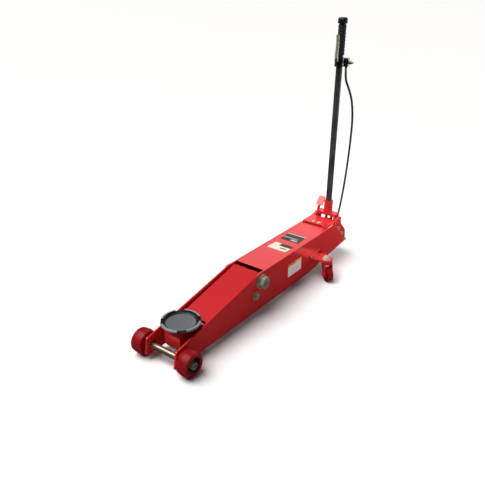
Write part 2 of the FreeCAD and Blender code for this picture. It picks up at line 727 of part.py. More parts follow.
bracket_outline = [
    (-z.saddle_pin_back - 25, z.bracket_top),
    (-z.saddle_back + 42, z.bracket_top),
    (-z.saddle_back + 60, z.bracket_top - 24),
    (-z.saddle_back + 60, z.bracket_top - 84),
    (-z.saddle_back + 44, z.bracket_top - 106),
    (-z.saddle_back - 24, z.bracket_top - 106),
    (-z.saddle_pin_back - 25, z.saddle_pin_height - 26),
]
boss_half = cheek_in - 1
bracket_width = (rod_inner - z.rod_side_gap) * 2
bracket = Piece("saddle_bracket")
bracket.pad("XZ_Plane", [bracket_outline], bracket_width)
bracket.soften("Fillet", lambda e: straight(e, ALONG_Y), 6)
bracket.pad("XZ_Plane", [(-z.saddle_pin_back, z.saddle_pin_height, z.saddle_pin_dia / 2 + 8)],
            boss_half * 2)
bracket.pocket("XZ_Plane", [
    (-z.saddle_pin_back, z.saddle_pin_height, z.saddle_pin_dia / 2 + fit),
    (rod_front[0], rod_front[1], z.rod_front_pin_dia / 2 + fit)], boss_half * 3)
bracket.pocket("XY_Plane", [(-z.saddle_back, 0, z.saddle_post_dia / 2 + fit)],
               (z.bracket_top - z.post_low + 1) * 2, z.bracket_top)
bracket.at()

link_pin = Piece("link_front_pin")
link_half = rod_centre + z.rod_wall / 2 + 3
radius = z.rod_front_pin_dia / 2
link_pin.turn([[(0, -link_half), (radius + 4, -link_half), (radius + 4, 2 - link_half),
                (radius, 2 - link_half), (radius, link_half - 2), (radius + 4, link_half - 2),
                (radius + 4, link_half), (0, link_half)]])
link_pin.at(rod_front[0], 0, rod_front[1])

post = z.saddle_post_dia / 2
disc = z.saddle_dia / 2
top = z.saddle_top
saddle_profile = [
    (0, z.post_low),
    (post - 1.5, z.post_low),
    (post, z.post_low + 1.5),
    (post, z.bracket_top + 0.4),
    (disc - 30, z.bracket_top + 0.4),
    (disc - 12, top - 18),
    (disc - 5, top - 11),
    (disc, top - 9),
    (disc, top - 1),
    (disc - 1, top),
    (disc - 9, top),
    (disc - 12, top - 7.5),
    (disc - 20, top - 9),
    (disc - 23, top - 12),
    (0, top - 12),
]
saddle = Piece("saddle").turn([saddle_profile], "XZ_Plane")
notch = z.notch_width / 2
diagonal = size(45)
inner, outer = disc - 15, disc + 12


def rim_point(along, across):
    """A point of the rim notch: distance along and across its radius."""
    return (size(along) * cosine(diagonal) - size(across) * sine(diagonal),
            size(along) * sine(diagonal) + size(across) * cosine(diagonal))


saddle.pocket("XY_Plane", [[rim_point(inner, -notch), rim_point(outer, -notch),
                            rim_point(outer, notch), rim_point(inner, notch)]], 16, top)
saddle.repeat(4)
saddle.at(-z.saddle_back, 0, 0)

rod_dx = z.pivot_back - z.saddle_pin_back
rod_dz = z.saddle_pin_height - z.pivot_height
rod_long = root(rod_dx * rod_dx + rod_dz * rod_dz)
rise = z.rod_depth / 2 / rod_long
rod = Piece("radius_rod_left", named=False)
rod.pad("XZ_Plane", [[
    (rod_anchor[0] - rod_dz * rise, rod_anchor[1] + rod_dx * rise),
    (rod_front[0] - rod_dz * rise, rod_front[1] + rod_dx * rise),
    (rod_front[0] + rod_dz * rise, rod_front[1] - rod_dx * rise),
    (rod_anchor[0] + rod_dz * rise, rod_anchor[1] - rod_dx * rise)]], z.rod_wall)
rod.pad("XZ_Plane", [(rod_anchor[0], rod_anchor[1], z.rod_eye_dia / 2)], z.rod_wall)
rod.pad("XZ_Plane", [(rod_front[0], rod_front[1], z.rod_eye_dia / 2)], z.rod_wall)
rod.pocket("XZ_Plane", [(rod_anchor[0], rod_anchor[1], z.rod_pin_dia / 2 + fit),
                        (rod_front[0], rod_front[1], z.rod_front_pin_dia / 2 + fit)], z.rod_wall * 2)
rod.at(0, rod_centre, 0)
both_sides("radius_rods", rod)

# ---------------------------------------------------------------- cylinder, ram and pump block

slot_low = z.pivot_height - z.crank_long - z.crank_pin_dia / 2 - 1
slot_high = crank_pin_at[1] + z.crank_pin_dia / 2 + 1
slot_half = z.crank_pin_dia / 2 + z.slot_play
head_rear = crank_pin_at[0] - slot_half - 17
head_front = crank_pin_at[0] + slot_half + 15
crosshead = Piece("ram_crosshead")
crosshead.pad("XZ_Plane", [[(head_rear, slot_low - 13), (head_front, slot_low - 13),
                            (head_front, slot_high + 13), (head_rear, slot_high + 13)]],
              z.crosshead_wide)
crosshead.soften("Fillet", lambda e: straight(e, ALONG_Y), 7)
crosshead.pocket("XZ_Plane", [[(crank_pin_at[0] - slot_half, slot_low),
                               (crank_pin_at[0] + slot_half, slot_low),
                               (crank_pin_at[0] + slot_half, slot_high),
                               (crank_pin_at[0] - slot_half, slot_high)]], z.crosshead_wide * 2)
crosshead.at()

ram_radius = z.ram_dia / 2
bore = z.bore_dia / 2
piston_front = -z.tank_rear_back + 35
piston_rear = -z.tank_rear_back + 5
groove_front = piston_front - 8
groove_rear = piston_front - 12
groove_floor = bore - 3
rod_piece = Piece("ram_rod").turn(
    [[(piston_front, 0), (head_rear, 0), (head_rear, ram_radius), (piston_front, ram_radius)]],
    "XY_Plane", "H_Axis")
rod_piece.at(0, 0, z.ram_height)
piston = Piece("ram_piston").turn(
    [[(piston_rear, 0), (piston_front, 0), (piston_front, bore - fit), (groove_front, bore - fit),
      (groove_front, groove_floor), (groove_rear, groove_floor), (groove_rear, bore - fit),
      (piston_rear, bore - fit)]],
    "XY_Plane", "H_Axis")
piston.at(0, 0, z.ram_height)


def sleeve(label, rear, front, inner_radius, outer_radius):
    """A tube along X, between two distances behind the front axle."""
    made = Piece(label).turn(
        [[(-rear, inner_radius), (-front, inner_radius), (-front, outer_radius),
          (-rear, outer_radius)]], "XY_Plane", "H_Axis")
    return made.at(0, 0, z.ram_height)


sleeve("cylinder_barrel", z.tank_rear_back - 4, z.tank_front_back + 12, bore, z.barrel_dia / 2)
tank_out = z.tank_dia / 2
tank = Piece("oil_tank").turn([[
    (-z.tank_rear_back, 0),
    (4 - z.tank_rear_back, 0),
    (4 - z.tank_rear_back, tank_out - z.tank_wall),
    (-z.tank_front_back, tank_out - z.tank_wall),
    (-z.tank_front_back, tank_out),
    (-z.tank_rear_back, tank_out),
]], "XY_Plane", "H_Axis")
tank.at(0, 0, z.ram_height)
gland = Piece("cylinder_gland").turn([[
    (-z.tank_front_back - 12, ram_radius + fit),
    (10 - z.tank_front_back, ram_radius + fit),
    (10 - z.tank_front_back, tank_out - 10),
    (6 - z.tank_front_back, tank_out),
    (-z.tank_front_back, tank_out),
    (-z.tank_front_back, tank_out - z.tank_wall),
    (-z.tank_front_back - 12, tank_out - z.tank_wall),
]], "XY_Plane", "H_Axis")
gland.at(0, 0, z.ram_height)

cradles = []
low = z.ram_height - tank_out - 3
high = z.ram_height + tank_out + 8
for label, back in (("front_cradle", z.front_cradle_back), ("rear_cradle", z.rear_cradle_back)):
    cradle = Piece(label, named=False)
    cradle.pad("YZ_Plane", [
        [(-half_in, high), (-half_in, low), (half_in, low), (half_in, high)],
        (0, z.ram_height, tank_out + fit)], z.cradle_wall)
    cradle.at(-back, 0, 0)
    cradles.append(cradle)
group("cylinder_cradles", cradles)

deck_bolt_back = z.block_rear_back - z.deck_bolt_edge
deck_holes = [(-deck_bolt_back, z.deck_bolt_out * side, z.deck_bolt_dia / 2 + fit) for side in (1, -1)]
block_long = z.block_rear_back - z.block_front_back
plunger_bore = z.plunger_dia / 2 + fit
block_half = z.block_width / 2
neck_half = z.neck_width / 2
pad_front = -deck_bolt_back + 15
block = Piece("pump_block")
block_shift = -(z.block_rear_back + z.block_front_back) / 2
block.pad("YZ_Plane", [[(-block_half, z.block_foot), (block_half, z.block_foot),
                        (block_half, z.block_shoulder), (-block_half, z.block_shoulder)]],
          block_long, block_shift)
block.soften("Chamfer", lambda e: straight(e, ALONG_X), 5)
neck_top = z.plunger_height + z.neck_cover
block.pad("YZ_Plane", [[(-neck_half, z.block_shoulder - 10), (neck_half, z.block_shoulder - 10),
                        (neck_half, neck_top), (-neck_half, neck_top)]], block_long, block_shift)
block.pad("XZ_Plane", [[(-z.block_rear_back, neck_top - 13), (pad_front, neck_top - 13),
                        (pad_front, z.deck_seat), (-z.block_rear_back, z.deck_seat)]], z.neck_width)
plunger_room = 110
release_room = 50
thread_room = 34
block.pocket("YZ_Plane", [(0, z.plunger_height, plunger_bore)], plunger_room, -z.block_rear_back)
block.pocket("YZ_Plane", [(-z.release_out, z.release_height, z.release_dia / 2 + fit)],
             release_room, -z.block_rear_back)
block.pocket("XY_Plane", deck_holes, thread_room, z.deck_seat)
block.at()

motor_radius = z.motor_dia / 2
motor_rear = -z.block_rear_back + 4
motor_front = -z.block_front_back - 2
motor = Piece("air_motor")
motor.turn([[(motor_rear, 0), (motor_rear, 14), (motor_rear + 6, 14), (motor_rear + 6, motor_radius),
             (motor_front - 24, motor_radius), (motor_front - 18, motor_radius - 4),
             (motor_front - 10, motor_radius - 4), (motor_front - 10, 9), (motor_front, 9),
             (motor_front, 0)]], "XY_Plane", "H_Axis")
motor.at(0, z.motor_out, z.block_foot - motor_radius)

# ---------------------------------------------------------------- top cover

cover = Piece("top_cover")
cover_top = [(-z.cover_front_back, deck_at(z.cover_front_back) - z.cover_sink),
             (-z.cover_rear_back, deck_at(z.cover_rear_back) - z.cover_sink)]
cover.pad("XZ_Plane", [cover_top + [(a, b - z.cover_wall) for a, b in reversed(cover_top)]],
          inner_width)
cover.at()

# ---------------------------------------------------------------- rear brackets and pins

lug_in = z.ear_width / 2 + 1
lug_wall = half_in - lug_in
lug = Piece("yoke_bracket")
deck_front = -z.cover_rear_back - z.deck_gap
deck_rear = -z.yoke_back + 48
deck_top = z.deck_seat + z.deck_wall
lug.pad("XZ_Plane", [[(deck_front, z.deck_seat), (deck_rear - 10, z.deck_seat),
                      (deck_rear - 10, deck_top), (deck_front, deck_top)]], inner_width)
ear_outline = [
    (deck_rear + 4, deck_top),
    (-z.yoke_back + 12, z.yoke_height + 14),
    (-z.yoke_back - 14, z.yoke_height + 10),
    (-z.yoke_back - 20, z.yoke_height - 40),
    (-z.yoke_back - 8, z.yoke_height - 66),
    (-z.yoke_back + 44, z.yoke_height - 66),
    (deck_rear + 4, z.deck_seat + 1),
]
for side in (1, -1):
    lug_shift = (lug_in + lug_wall / 2) * side
    lug.pad("XZ_Plane", [ear_outline], lug_wall, lug_shift)
    lug.pad("XZ_Plane", [(-z.yoke_back, z.yoke_height, z.yoke_pin_dia / 2 + 8)], lug_wall, lug_shift)
lug.pocket("XZ_Plane", [(-z.yoke_back, z.yoke_height, z.yoke_pin_dia / 2 + fit),
                        (*upper_bolt, rear_hole)], z.frame_width * 2)
lug.pocket("XY_Plane", deck_holes, z.deck_wall * 4, deck_top)
lug.at()

deck_bolt = Piece("deck_bolt_left", named=False)
deck_bolt_radius = z.deck_bolt_dia / 2
deck_bolt.turn([[(0, z.deck_seat - 14), (deck_bolt_radius, z.deck_seat - 14),
                 (deck_bolt_radius, deck_top), (deck_bolt_radius + 5, deck_top),
                 (deck_bolt_radius + 5, deck_top + 5), (deck_bolt_radius + 2, deck_top + 7.5),
                 (0, deck_top + 8)]], "XZ_Plane")
deck_bolt.at(-deck_bolt_back, z.deck_bolt_out, 0)
both_sides("deck_bolts", deck_bolt)


def beside(bolt, ahead, up):
    """A point given from the axis of a rear bolt."""
    return (bolt[0] + ahead, bolt[1] + up)


brace = Piece("tail_brace")
brace.pad("XZ_Plane", [[
    beside(middle_bolt, 12, 12), beside(middle_bolt, -11, -4), beside(lower_bolt, 9, 12),
    beside(lower_bolt, -11, -11), beside(lower_bolt, -3, -18), beside(lower_bolt, 19, -4),
    beside(middle_bolt, 1, -19), beside(middle_bolt, 21, 1)]], inner_width)
bolt_room = 22
for side in (1, -1):
    brace.pocket("XZ_Plane", [(*middle_bolt, rear_hole), (*lower_bolt, rear_hole)],
                 bolt_room * 2, half_in * side)
brace.at()

bolts = []
bolt_radius = z.rear_bolt_dia / 2
for label, spot in (("upper_bolt", upper_bolt), ("middle_bolt", middle_bolt), ("lower_bolt", lower_bolt)):
    bolt = Piece(label, named=False)
    shank_end = half_in - 14
    bolt.turn([[(0, shank_end), (bolt_radius, shank_end), (bolt_radius, half_out),
                (bolt_radius + 5, half_out), (bolt_radius + 5, half_out + 2), (0, half_out + 2)]])
    bolt.pad("XZ_Plane", [hexagon(z.rear_bolt_dia * 1.5)], 8, -(half_out + 5))
    bolt.at(spot[0], 0, spot[1])
    mirror = doc.addObject("Part::Mirroring", label + "_mirrored")
    mirror.Source = bolt.body
    mirror.Normal = ALONG_Y
    bolts += [bolt, mirror]
group("rear_bolts", bolts)

pins = Piece("yoke_pin_left", named=False)
ear_in = z.ear_width / 2 - z.ear_wall
pins.turn([[(0, ear_in - 3), (z.yoke_pin_dia / 2, ear_in - 3), (z.yoke_pin_dia / 2, half_in - 1),
            (0, half_in - 1)]])
pins.at(-z.yoke_back, 0, z.yoke_height)
both_sides("yoke_pins", pins)

# ---------------------------------------------------------------- handle, in the handle's own frame

HOSE_DIA = 12.0
HOSE_POINTS = [
    (-1413.0, 42.0, 200.0), (-1436.0, 43.0, 251.0), (-1452.0, 46.0, 330.0), (-1470.0, 49.0, 435.0),
    (-1486.0, 50.0, 560.0), (-1503.0, 48.0, 690.0), (-1509.0, 45.0, 800.0), (-1492.0, 40.0, 900.0),
    (-1446.0, 34.0, 975.0), (-1413.9, 30.0, 1021.0), (-1414.8, 30.0, 1074.5),
]
lean_axis = FreeCAD.Vector(0, -1, 0)


def on_handle(piece):
    """Stand a piece built about the handle pivot at the handle's rest lean."""
    return piece.at(-z.yoke_back, 0, z.yoke_height, lean_axis, z.handle_lean)


roller_at = (-z.roller_arm * sine(z.roller_lean), -z.roller_arm * cosine(z.roller_lean))
roller_wide = size(24)
roller_pin = size(5)
web_wall = size(8)
tube_out = z.tube_dia / 2
ear_half = size(24)
ear_foot = size(20)
bridge_low = size(15)
bridge_high = size(31)
ear_shape = [
    (-ear_half, bridge_high - 1), (-ear_half, 0), (-ear_half + 9, -ear_foot),
    (ear_half - 9, -ear_foot), (ear_half, 0), (ear_half, bridge_high - 1),
]
web_shape = [
    (-ear_half + 2, bridge_low + 1),
    (roller_at[0] - roller_pin * 2, roller_at[1]),
    (roller_at[0] - roller_pin, roller_at[1] - 9),
    (roller_at[0] + roller_pin, roller_at[1] - 9),
    (roller_at[0] + roller_pin * 2, roller_at[1]),
    (-3, bridge_low + 1),
]
yoke = Piece("handle_yoke")
yoke.pad("XZ_Plane", [[(-ear_half, bridge_low), (ear_half, bridge_low), (ear_half, bridge_high),
                       (-ear_half, bridge_high)]], z.ear_width)
for side in (1, -1):
    yoke.pad("XZ_Plane", [ear_shape], z.ear_wall, (z.ear_width / 2 - z.ear_wall / 2) * side)
    yoke.pad("XZ_Plane", [web_shape], web_wall, (roller_wide / 2 + 1 + web_wall / 2) * side)
yoke.pad("XY_Plane", [(0, 0, z.socket_dia / 2)], z.socket_top - bridge_low,
         (z.socket_top + bridge_low) / 2)
tube_seat = bridge_high + 0.5
cable_room = size(12)
yoke.pocket("XY_Plane", [(0, 0, tube_out + fit)], (z.socket_top - tube_seat + 0.5) * 2, z.socket_top)
yoke.pocket("XY_Plane", [(0, 0, cable_room)], z.socket_top, ear_foot)
yoke.pocket("XZ_Plane", [(0, 0, z.yoke_pin_dia / 2 + fit), (*roller_at, roller_pin + fit)],
            z.ear_width * 2)
on_handle(yoke)

roller = Piece("pump_roller")
roller.pad("XZ_Plane", [(*roller_at, z.roller_radius)], roller_wide - z.side_gap * 2)
roller.pad("XZ_Plane", [(*roller_at, roller_pin)], roller_wide + 1 + web_wall * 2)
on_handle(roller)

tube_low = tube_seat
handle = Piece("handle_tube").turn(
    [[(tube_out - z.tube_wall, tube_low), (tube_out, tube_low), (tube_out, z.handle_top),
      (tube_out - z.tube_wall, z.handle_top)]], "XZ_Plane")
on_handle(handle)

grip_low = z.handle_top - z.grip_long - z.grip_inset
grip = Piece("handle_grip")
grip_out = z.grip_dia / 2
groove = grip_out - 1.6
grip_profile = [(tube_out + fit, grip_low), (grip_out, grip_low)]
ribs = 9
step = z.grip_long / ribs
for n in range(ribs):
    foot = grip_low + step * n
    grip_profile += [(grip_out, foot + step * 0.65), (groove, foot + step * 0.72),
                     (groove, foot + step * 0.93), (grip_out, foot + step)]
grip_profile += [(tube_out + fit, grip_low + z.grip_long)]
grip.turn([grip_profile], "XZ_Plane")
on_handle(grip)

knob_low = z.handle_top + 0.5
knob_out = size(25)
release_rod = size(6)
rod_low = bridge_high + 5
knob = Piece("release_knob").turn([[
    (0, rod_low), (release_rod, rod_low), (release_rod, knob_low), (knob_out - 3, knob_low),
    (knob_out, knob_low + 3), (knob_out, knob_low + 22), (knob_out - 5, knob_low + 29),
    (0, knob_low + 31)]], "XZ_Plane")
flutes = 6
for n in range(flutes):
    angle = size(360.0 / flutes * n)
    knob.pocket("XY_Plane", [(cosine(angle) * (knob_out + 2), sine(angle) * (knob_out + 2), 5)],
                60, knob_low + 20)
on_handle(knob)

valve_top = grip_low - z.valve_gap
valve_low = valve_top - z.valve_high
valve_mid = (valve_low + valve_top) / 2
valve_x = size(-20)
valve_half = size(14)
valve_out = size(44)
port_y = size(30)
inlet_radius = size(6)
lever_pivot = (size(36), valve_top - 8)
lever_pin = z.lever_pin_dia / 2
lug_half = size(4.5)
valve = Piece("air_valve")
valve.pad("XY_Plane", [(0, 0, tube_out + 9)], z.valve_high, valve_mid)
valve.pad("XY_Plane", [[(valve_x - valve_half, 4), (valve_x + valve_half, 4),
                        (valve_x + valve_half, valve_out), (valve_x - valve_half, valve_out)]],
          z.valve_high, valve_mid)
valve.soften("Fillet", lambda e: straight(e, ALONG_Z)
             and e.BoundBox.Center.y > valve_out.value - 1, 8)
valve.pad("XY_Plane", [(valve_x, port_y, HOSE_DIA / 2 + 0.5)], 8.5, valve_low - 3.75)
valve.pad("XZ_Plane", [(valve_x, valve_mid, inlet_radius + 3)], 12, -(valve_out + 5.5))
valve.pad("XZ_Plane", [(valve_x, valve_mid, inlet_radius)], 26, -(valve_out + 12))
valve.pad("XY_Plane", [[(14, -lug_half), (lever_pivot[0] + 6, -lug_half),
                        (lever_pivot[0] + 6, lug_half), (14, lug_half)]], 16, lever_pivot[1])
valve.pocket("XY_Plane", [(0, 0, tube_out + fit)], 200, valve_top)
valve.pocket("XZ_Plane", [(*lever_pivot, lever_pin + fit)], 30)
on_handle(valve)

lever = Piece("air_lever")
lever.pad("XZ_Plane", [[
    (30, valve_top - 7), (42, valve_top - 7), (44, valve_top + 12), (38.5, valve_top + 70),
    (43.5, valve_top + 118), (39.5, valve_top + 119), (34, valve_top + 70), (37, valve_top + 12)]],
    z.lever_wide)
lever.pad("XZ_Plane", [(*lever_pivot, 7)], z.lever_wide)
lever.pocket("XZ_Plane", [[(10, valve_top - 22), (50, valve_top - 22), (50, valve_top + 4),
                           (10, valve_top + 4)]], (lug_half + z.side_gap) * 2)
lever.pad("XZ_Plane", [(*lever_pivot, lever_pin)], z.lever_wide + 2)
on_handle(lever)

# foot pedal on the right-hand ear
pedal = Piece("foot_pedal")
pedal_arm = size(8)
pedal_y = z.ear_width / 2 + pedal_arm / 2
pad_wide = size(42)
pad_low = (size(-6.9), size(53.8))
pad_high = (size(-44.6), size(98.8))
run_x = pad_high[0] - pad_low[0]
run_z = pad_high[1] - pad_low[1]
run = root(run_x * run_x + run_z * run_z)
half_pad = size(4)
side_x = run_z / run * half_pad
side_z = -run_x / run * half_pad
pedal.pad("XZ_Plane", [[(-14, ear_half), (10, ear_half), (5, 50.5), (-21, 60.5), (-26, 52), (-17.5, 43)]],
          pedal_arm, pedal_y)
pedal.pad("XZ_Plane", [[
    (pad_low[0] - side_x, pad_low[1] - side_z), (pad_high[0] - side_x, pad_high[1] - side_z),
    (pad_high[0] + side_x, pad_high[1] + side_z), (pad_low[0] + side_x, pad_low[1] + side_z)]],
    pad_wide, pedal_y)
on_handle(pedal)

# hose elbow on the inner face of the left-hand ear
elbow = Piece("hose_elbow")
elbow_wide = size(16)
elbow.pad("XZ_Plane", [[(-40.3, -28.4), (-34.7, -41.9), (-16.6, -43.5), (-8.5, -18.7), (-13.5, -7.1),
                        (-21.3, -9.7), (-26.6, -22.5)]], elbow_wide, -(ear_in - elbow_wide / 2))
on_handle(elbow)


def cord(points, dia):
    """A tube through straight runs that are joined by tangent arcs."""
    nodes = [FreeCAD.Vector(*p) for p in points]
    edges = []
    start = nodes[0]
    for before, corner, after in zip(nodes, nodes[1:], nodes[2:]):
        to_last, to_next = before - corner, after - corner
        run_in, run_out = to_last.Length, to_next.Length
        to_last.normalize()
        to_next.normalize()
        half_turn = (math.pi - to_last.getAngle(to_next)) / 2
        trim = 0.45 * min(run_in, run_out)
        radius = trim / math.tan(half_turn)
        print("cord radius", round(radius, 1))
        enter, leave = corner + to_last * trim, corner + to_next * trim
        bisector = (to_last + to_next).normalize()
        centre = corner + bisector * math.hypot(radius, trim)
        middle = centre - bisector * radius
        edges.append(Part.LineSegment(start, enter).toShape())
        edges.append(Part.Arc(enter, middle, leave).toShape())
        start = leave
    edges.append(Part.LineSegment(start, nodes[-1]).toShape())
    path = Part.Wire(edges)
    direction = (nodes[1] - nodes[0]).normalize()
    section = Part.Wire(Part.Circle(nodes[0], direction, dia / 2).toShape())
    tube = path.makePipeShell([section], True, False, 2)
    area = math.pi * dia * dia / 4
    print("cord length", round(path.Length, 1), "volume ratio", round(tube.Volume / (area * path.Length), 4))
    return tube


hose = doc.addObject("Part::Feature", "air_hose")
hose.Label = "air_hose"
hose.Shape = cord(HOSE_POINTS, HOSE_DIA)
hose.Placement.Base = FreeCAD.Vector(z.axle_station.value, 0, 0)
bind(hose, "Placement.Base.x", z.axle_station)
PIECES["air_hose"] = hose

# ---------------------------------------------------------------- pump plunger and release valve

lean_now = z.roller_lean - z.handle_lean
roller_face = -z.yoke_back - z.roller_arm * sine(lean_now) + z.roller_radius
block_rear = -z.block_rear_back
cap_rear = roller_face + z.cap_gap
cap_front = cap_rear + z.cap_thick
cap_radius = z.cap_dia / 2
plunger_front = block_rear + 22
plunger = Piece("pump_plunger").turn([[
    (cap_rear, 0), (cap_rear, cap_radius), (cap_front, cap_radius), (cap_front, z.plunger_dia / 2),
    (plunger_front, z.plunger_dia / 2), (plunger_front, 0)]], "XY_Plane", "H_Axis")
plunger.at(0, 0, z.plunger_height)

release_radius = z.release_dia / 2
stem_rear = block_rear - 42
stem = Piece("release_valve").turn([[
    (stem_rear, 0), (stem_rear, 6), (stem_rear + 14, 6), (stem_rear + 14, 9), (block_rear - 20, 9),
    (block_rear - 20, release_radius), (block_rear + 19, release_radius), (block_rear + 23, 3),
    (block_rear + 23, 0)]], "XY_Plane", "H_Axis")
stem.at(0, -z.release_out, z.release_height)


def coil(label, mean, turns, span):
    """A coil of spring wire about its own Z axis, as a swept helix."""
    mean, span = size(mean), size(span)
    helix = doc.addObject("Part::Helix", label + "_helix")
    helix.Radius = mean.value / 2
    helix.Height = span.value
    helix.Pitch = span.value / turns
    bind(helix, "Radius", mean / 2)
    bind(helix, "Height", span)
    bind(helix, "Pitch", span / turns)
    circle = doc.addObject("Part::Circle", label + "_wire")
    circle.Radius = z.spring_wire.value / 2
    circle.Placement = FreeCAD.Placement(FreeCAD.Vector(mean.value / 2, 0, 0), FreeCAD.Rotation(ALONG_X, 90))
    bind(circle, "Radius", z.spring_wire / 2)
    bind(circle, "Placement.Base.x", mean / 2)
    swept = doc.addObject("Part::Sweep", label)
    swept.Label = label
    swept.Sections = [circle]
    swept.Spine = (helix, [])
    swept.Solid = True
    swept.Frenet = True
    doc.recompute()
    return swept


coil_gap = z.spring_wire / 2 + 0.1
pump_spring = coil("pump_spring", z.pump_spring_dia, 12, block_rear - cap_front - coil_gap * 2)
place(pump_spring, cap_front + coil_gap, 0, z.plunger_height, ALONG_Y, 90)
PIECES["pump_spring"] = pump_spring

reach_x = -z.spring_bar_back - post_at[0]
reach_z = spring_bar_height - post_at[1]
spring_long = root(reach_x * reach_x + reach_z * reach_z)
spring_lean = bearing(reach_x, reach_z)
post_end = z.spring_post_dia / 2 + coil_gap
bar_end = z.spring_bar_dia / 2 + coil_gap
springs = []
for side, label in ((1, "left"), (-1, "right")):
    spring = coil("return_spring_" + label, z.spring_dia, 30, spring_long - post_end - bar_end)
    place(spring, post_at[0] + reach_x / spring_long * post_end, (cheek_in - z.spring_inset) * side,
          post_at[1] + reach_z / spring_long * post_end, ALONG_Y, spring_lean)
    springs.append(spring)
group("return_springs", springs)

CABLE_DIA = 6.0
FLEX_POINTS = [
    (-1305.2, -36.0, 110.0), (-1333.0, -36.0, 116.0), (-1358.0, -35.0, 153.0),
    (-1368.0, -28.0, 196.0), (-1380.1, 0.0, 234.0), (-1380.6, 0.0, 260.8),
]
flex = doc.addObject("Part::Feature", "release_cable")
flex.Label = "release_cable"
flex.Shape = cord(FLEX_POINTS, CABLE_DIA)
flex.Placement.Base = FreeCAD.Vector(z.axle_station.value, 0, 0)
bind(flex, "Placement.Base.x", z.axle_station)
PIECES["release_cable"] = flex

# ---------------------------------------------------------------- casters

kingpin_out = half_out + z.kingpin_reach
plate_high = z.caster_plate_low + z.caster_plate_thick
plate_mid = z.caster_plate_low + z.caster_plate_thick / 2
root_front = -z.kingpin_back + z.caster_ahead
root_rear = -z.kingpin_back - z.caster_behind
boss = z.caster_boss
flange_top = plate_high + z.caster_flange
flange_wall = size(6)
rib_wall = size(8)
bracket = Piece("caster_bracket_left", named=False)
bracket.pad("XY_Plane", [[
    (root_front, half_out), (-z.kingpin_back + boss * 0.8, kingpin_out + boss * 0.6),
    (-z.kingpin_back - boss * 0.8, kingpin_out + boss * 0.6), (root_rear, half_out)]],
    z.caster_plate_thick, plate_mid)
bracket.pad("XY_Plane", [(-z.kingpin_back, kingpin_out, boss)], z.caster_plate_thick, plate_mid)
bracket.pad("XZ_Plane", [[
    (root_front, plate_high - 2), (root_front, flange_top), (root_rear, flange_top),
    (root_rear, plate_high - 2)]], flange_wall, -(half_out + flange_wall / 2))
bracket.pad("YZ_Plane", [[
    (half_out, plate_high - 1), (half_out, flange_top), (half_out + 8, flange_top),
    (kingpin_out - 24, plate_high - 1)]], rib_wall, root_rear + rib_wall + 1)
bracket.pocket("XY_Plane", [(-z.kingpin_back, kingpin_out, z.kingpin_dia / 2 + fit)],
               z.caster_plate_thick * 4, z.caster_plate_low)
bracket.at()
both_sides("caster_brackets", bracket)

fork_top = z.caster_plate_low - 2
fork_thick = size(8)
fork_low = fork_top - fork_thick
wheel_radius = z.caster_dia / 2
kingpin = Piece("kingpin_left", named=False)
radius = z.kingpin_dia / 2
head_radius = size(15)
kingpin.turn([[
    (0, fork_low - 8), (radius + 3, fork_low - 8), (radius + 3, fork_low - 0.5),
    (radius, fork_low - 0.5), (radius, plate_high), (head_radius + 7, plate_high),
    (head_radius + 7, plate_high + 4), (head_radius, plate_high + 5), (head_radius, plate_high + 13),
    (head_radius - 3, plate_high + 16), (7, plate_high + 16), (6, plate_high + 12),
    (0, plate_high + 12)]], "XZ_Plane")
kingpin.at(-z.kingpin_back, kingpin_out, 0)
both_sides("kingpins", kingpin)

leg_in = z.caster_width / 2 + 2
leg_wall = size(6)
fork_half = leg_in + leg_wall
leg_shape = [
    (-14, fork_top - 1), (30, fork_top - 1),
    (z.caster_trail + 13, wheel_radius + 6), (z.caster_trail + 13, wheel_radius - 7),
    (z.caster_trail + 7, wheel_radius - 13), (z.caster_trail - 7, wheel_radius - 13),
    (z.caster_trail - 14, wheel_radius - 2),
]
axle_radius = z.caster_axle_dia / 2
axle_cap = axle_radius + 2.5
half_tread = z.caster_width / 2
tread_profile = [
    (axle_radius + fit, -half_tread), (wheel_radius - 12, -half_tread),
    (wheel_radius - 14, 4 - half_tread), (wheel_radius - 8, 4 - half_tread),
    (wheel_radius - 5, -half_tread), (wheel_radius - 3, -half_tread),
    (wheel_radius, 3 - half_tread), (wheel_radius, half_tread - 3),
    (wheel_radius - 3, half_tread), (wheel_radius - 5, half_tread),
    (wheel_radius - 8, half_tread - 4), (wheel_radius - 14, half_tread - 4),
    (wheel_radius - 12, half_tread), (axle_radius + fit, half_tread),
]
for side, label in ((1, "left"), (-1, "right")):
    turn = z.caster_turn * side
    spot = (-z.kingpin_back, kingpin_out * side)
    out = (spot[0] + z.caster_trail * cosine(turn), spot[1] + z.caster_trail * sine(turn))
    fork = Piece("caster_fork_body_" + label, named=False)
    fork.pad("XY_Plane", [[(-24, -fork_half), (34, -fork_half), (34, fork_half), (-24, fork_half)]],
             fork_thick, fork_top - fork_thick / 2)
    fork.soften("Fillet", lambda e: straight(e, ALONG_Z), 9)
    for leg in (1, -1):
        fork.pad("XZ_Plane", [leg_shape], leg_wall, (leg_in + leg_wall / 2) * leg)
    fork.pocket("XZ_Plane", [(z.caster_trail, wheel_radius, axle_radius + fit)], fork_half * 4)
    fork.pocket("XY_Plane", [(0, 0, z.kingpin_dia / 2 + fit)], fork_thick * 6, fork_top)
    fork.at(*spot, 0, ALONG_Z, turn)
    bolt = Piece("caster_axle_" + label, named=False)
    bolt.turn([[(0, -fork_half - 5), (axle_cap, -fork_half - 5), (axle_cap, -fork_half),
                (axle_radius, -fork_half), (axle_radius, fork_half), (axle_cap, fork_half),
                (axle_cap, fork_half + 5), (0, fork_half + 5)]])
    bolt.at(*out, wheel_radius, ALONG_Z, turn)
    group("caster_fork_" + label, [fork, bolt])
    wheel = Piece("caster_wheel_" + label).turn([tread_profile])
    wheel.at(*out, wheel_radius, ALONG_Z, turn)

# ---------------------------------------------------------------- check and write

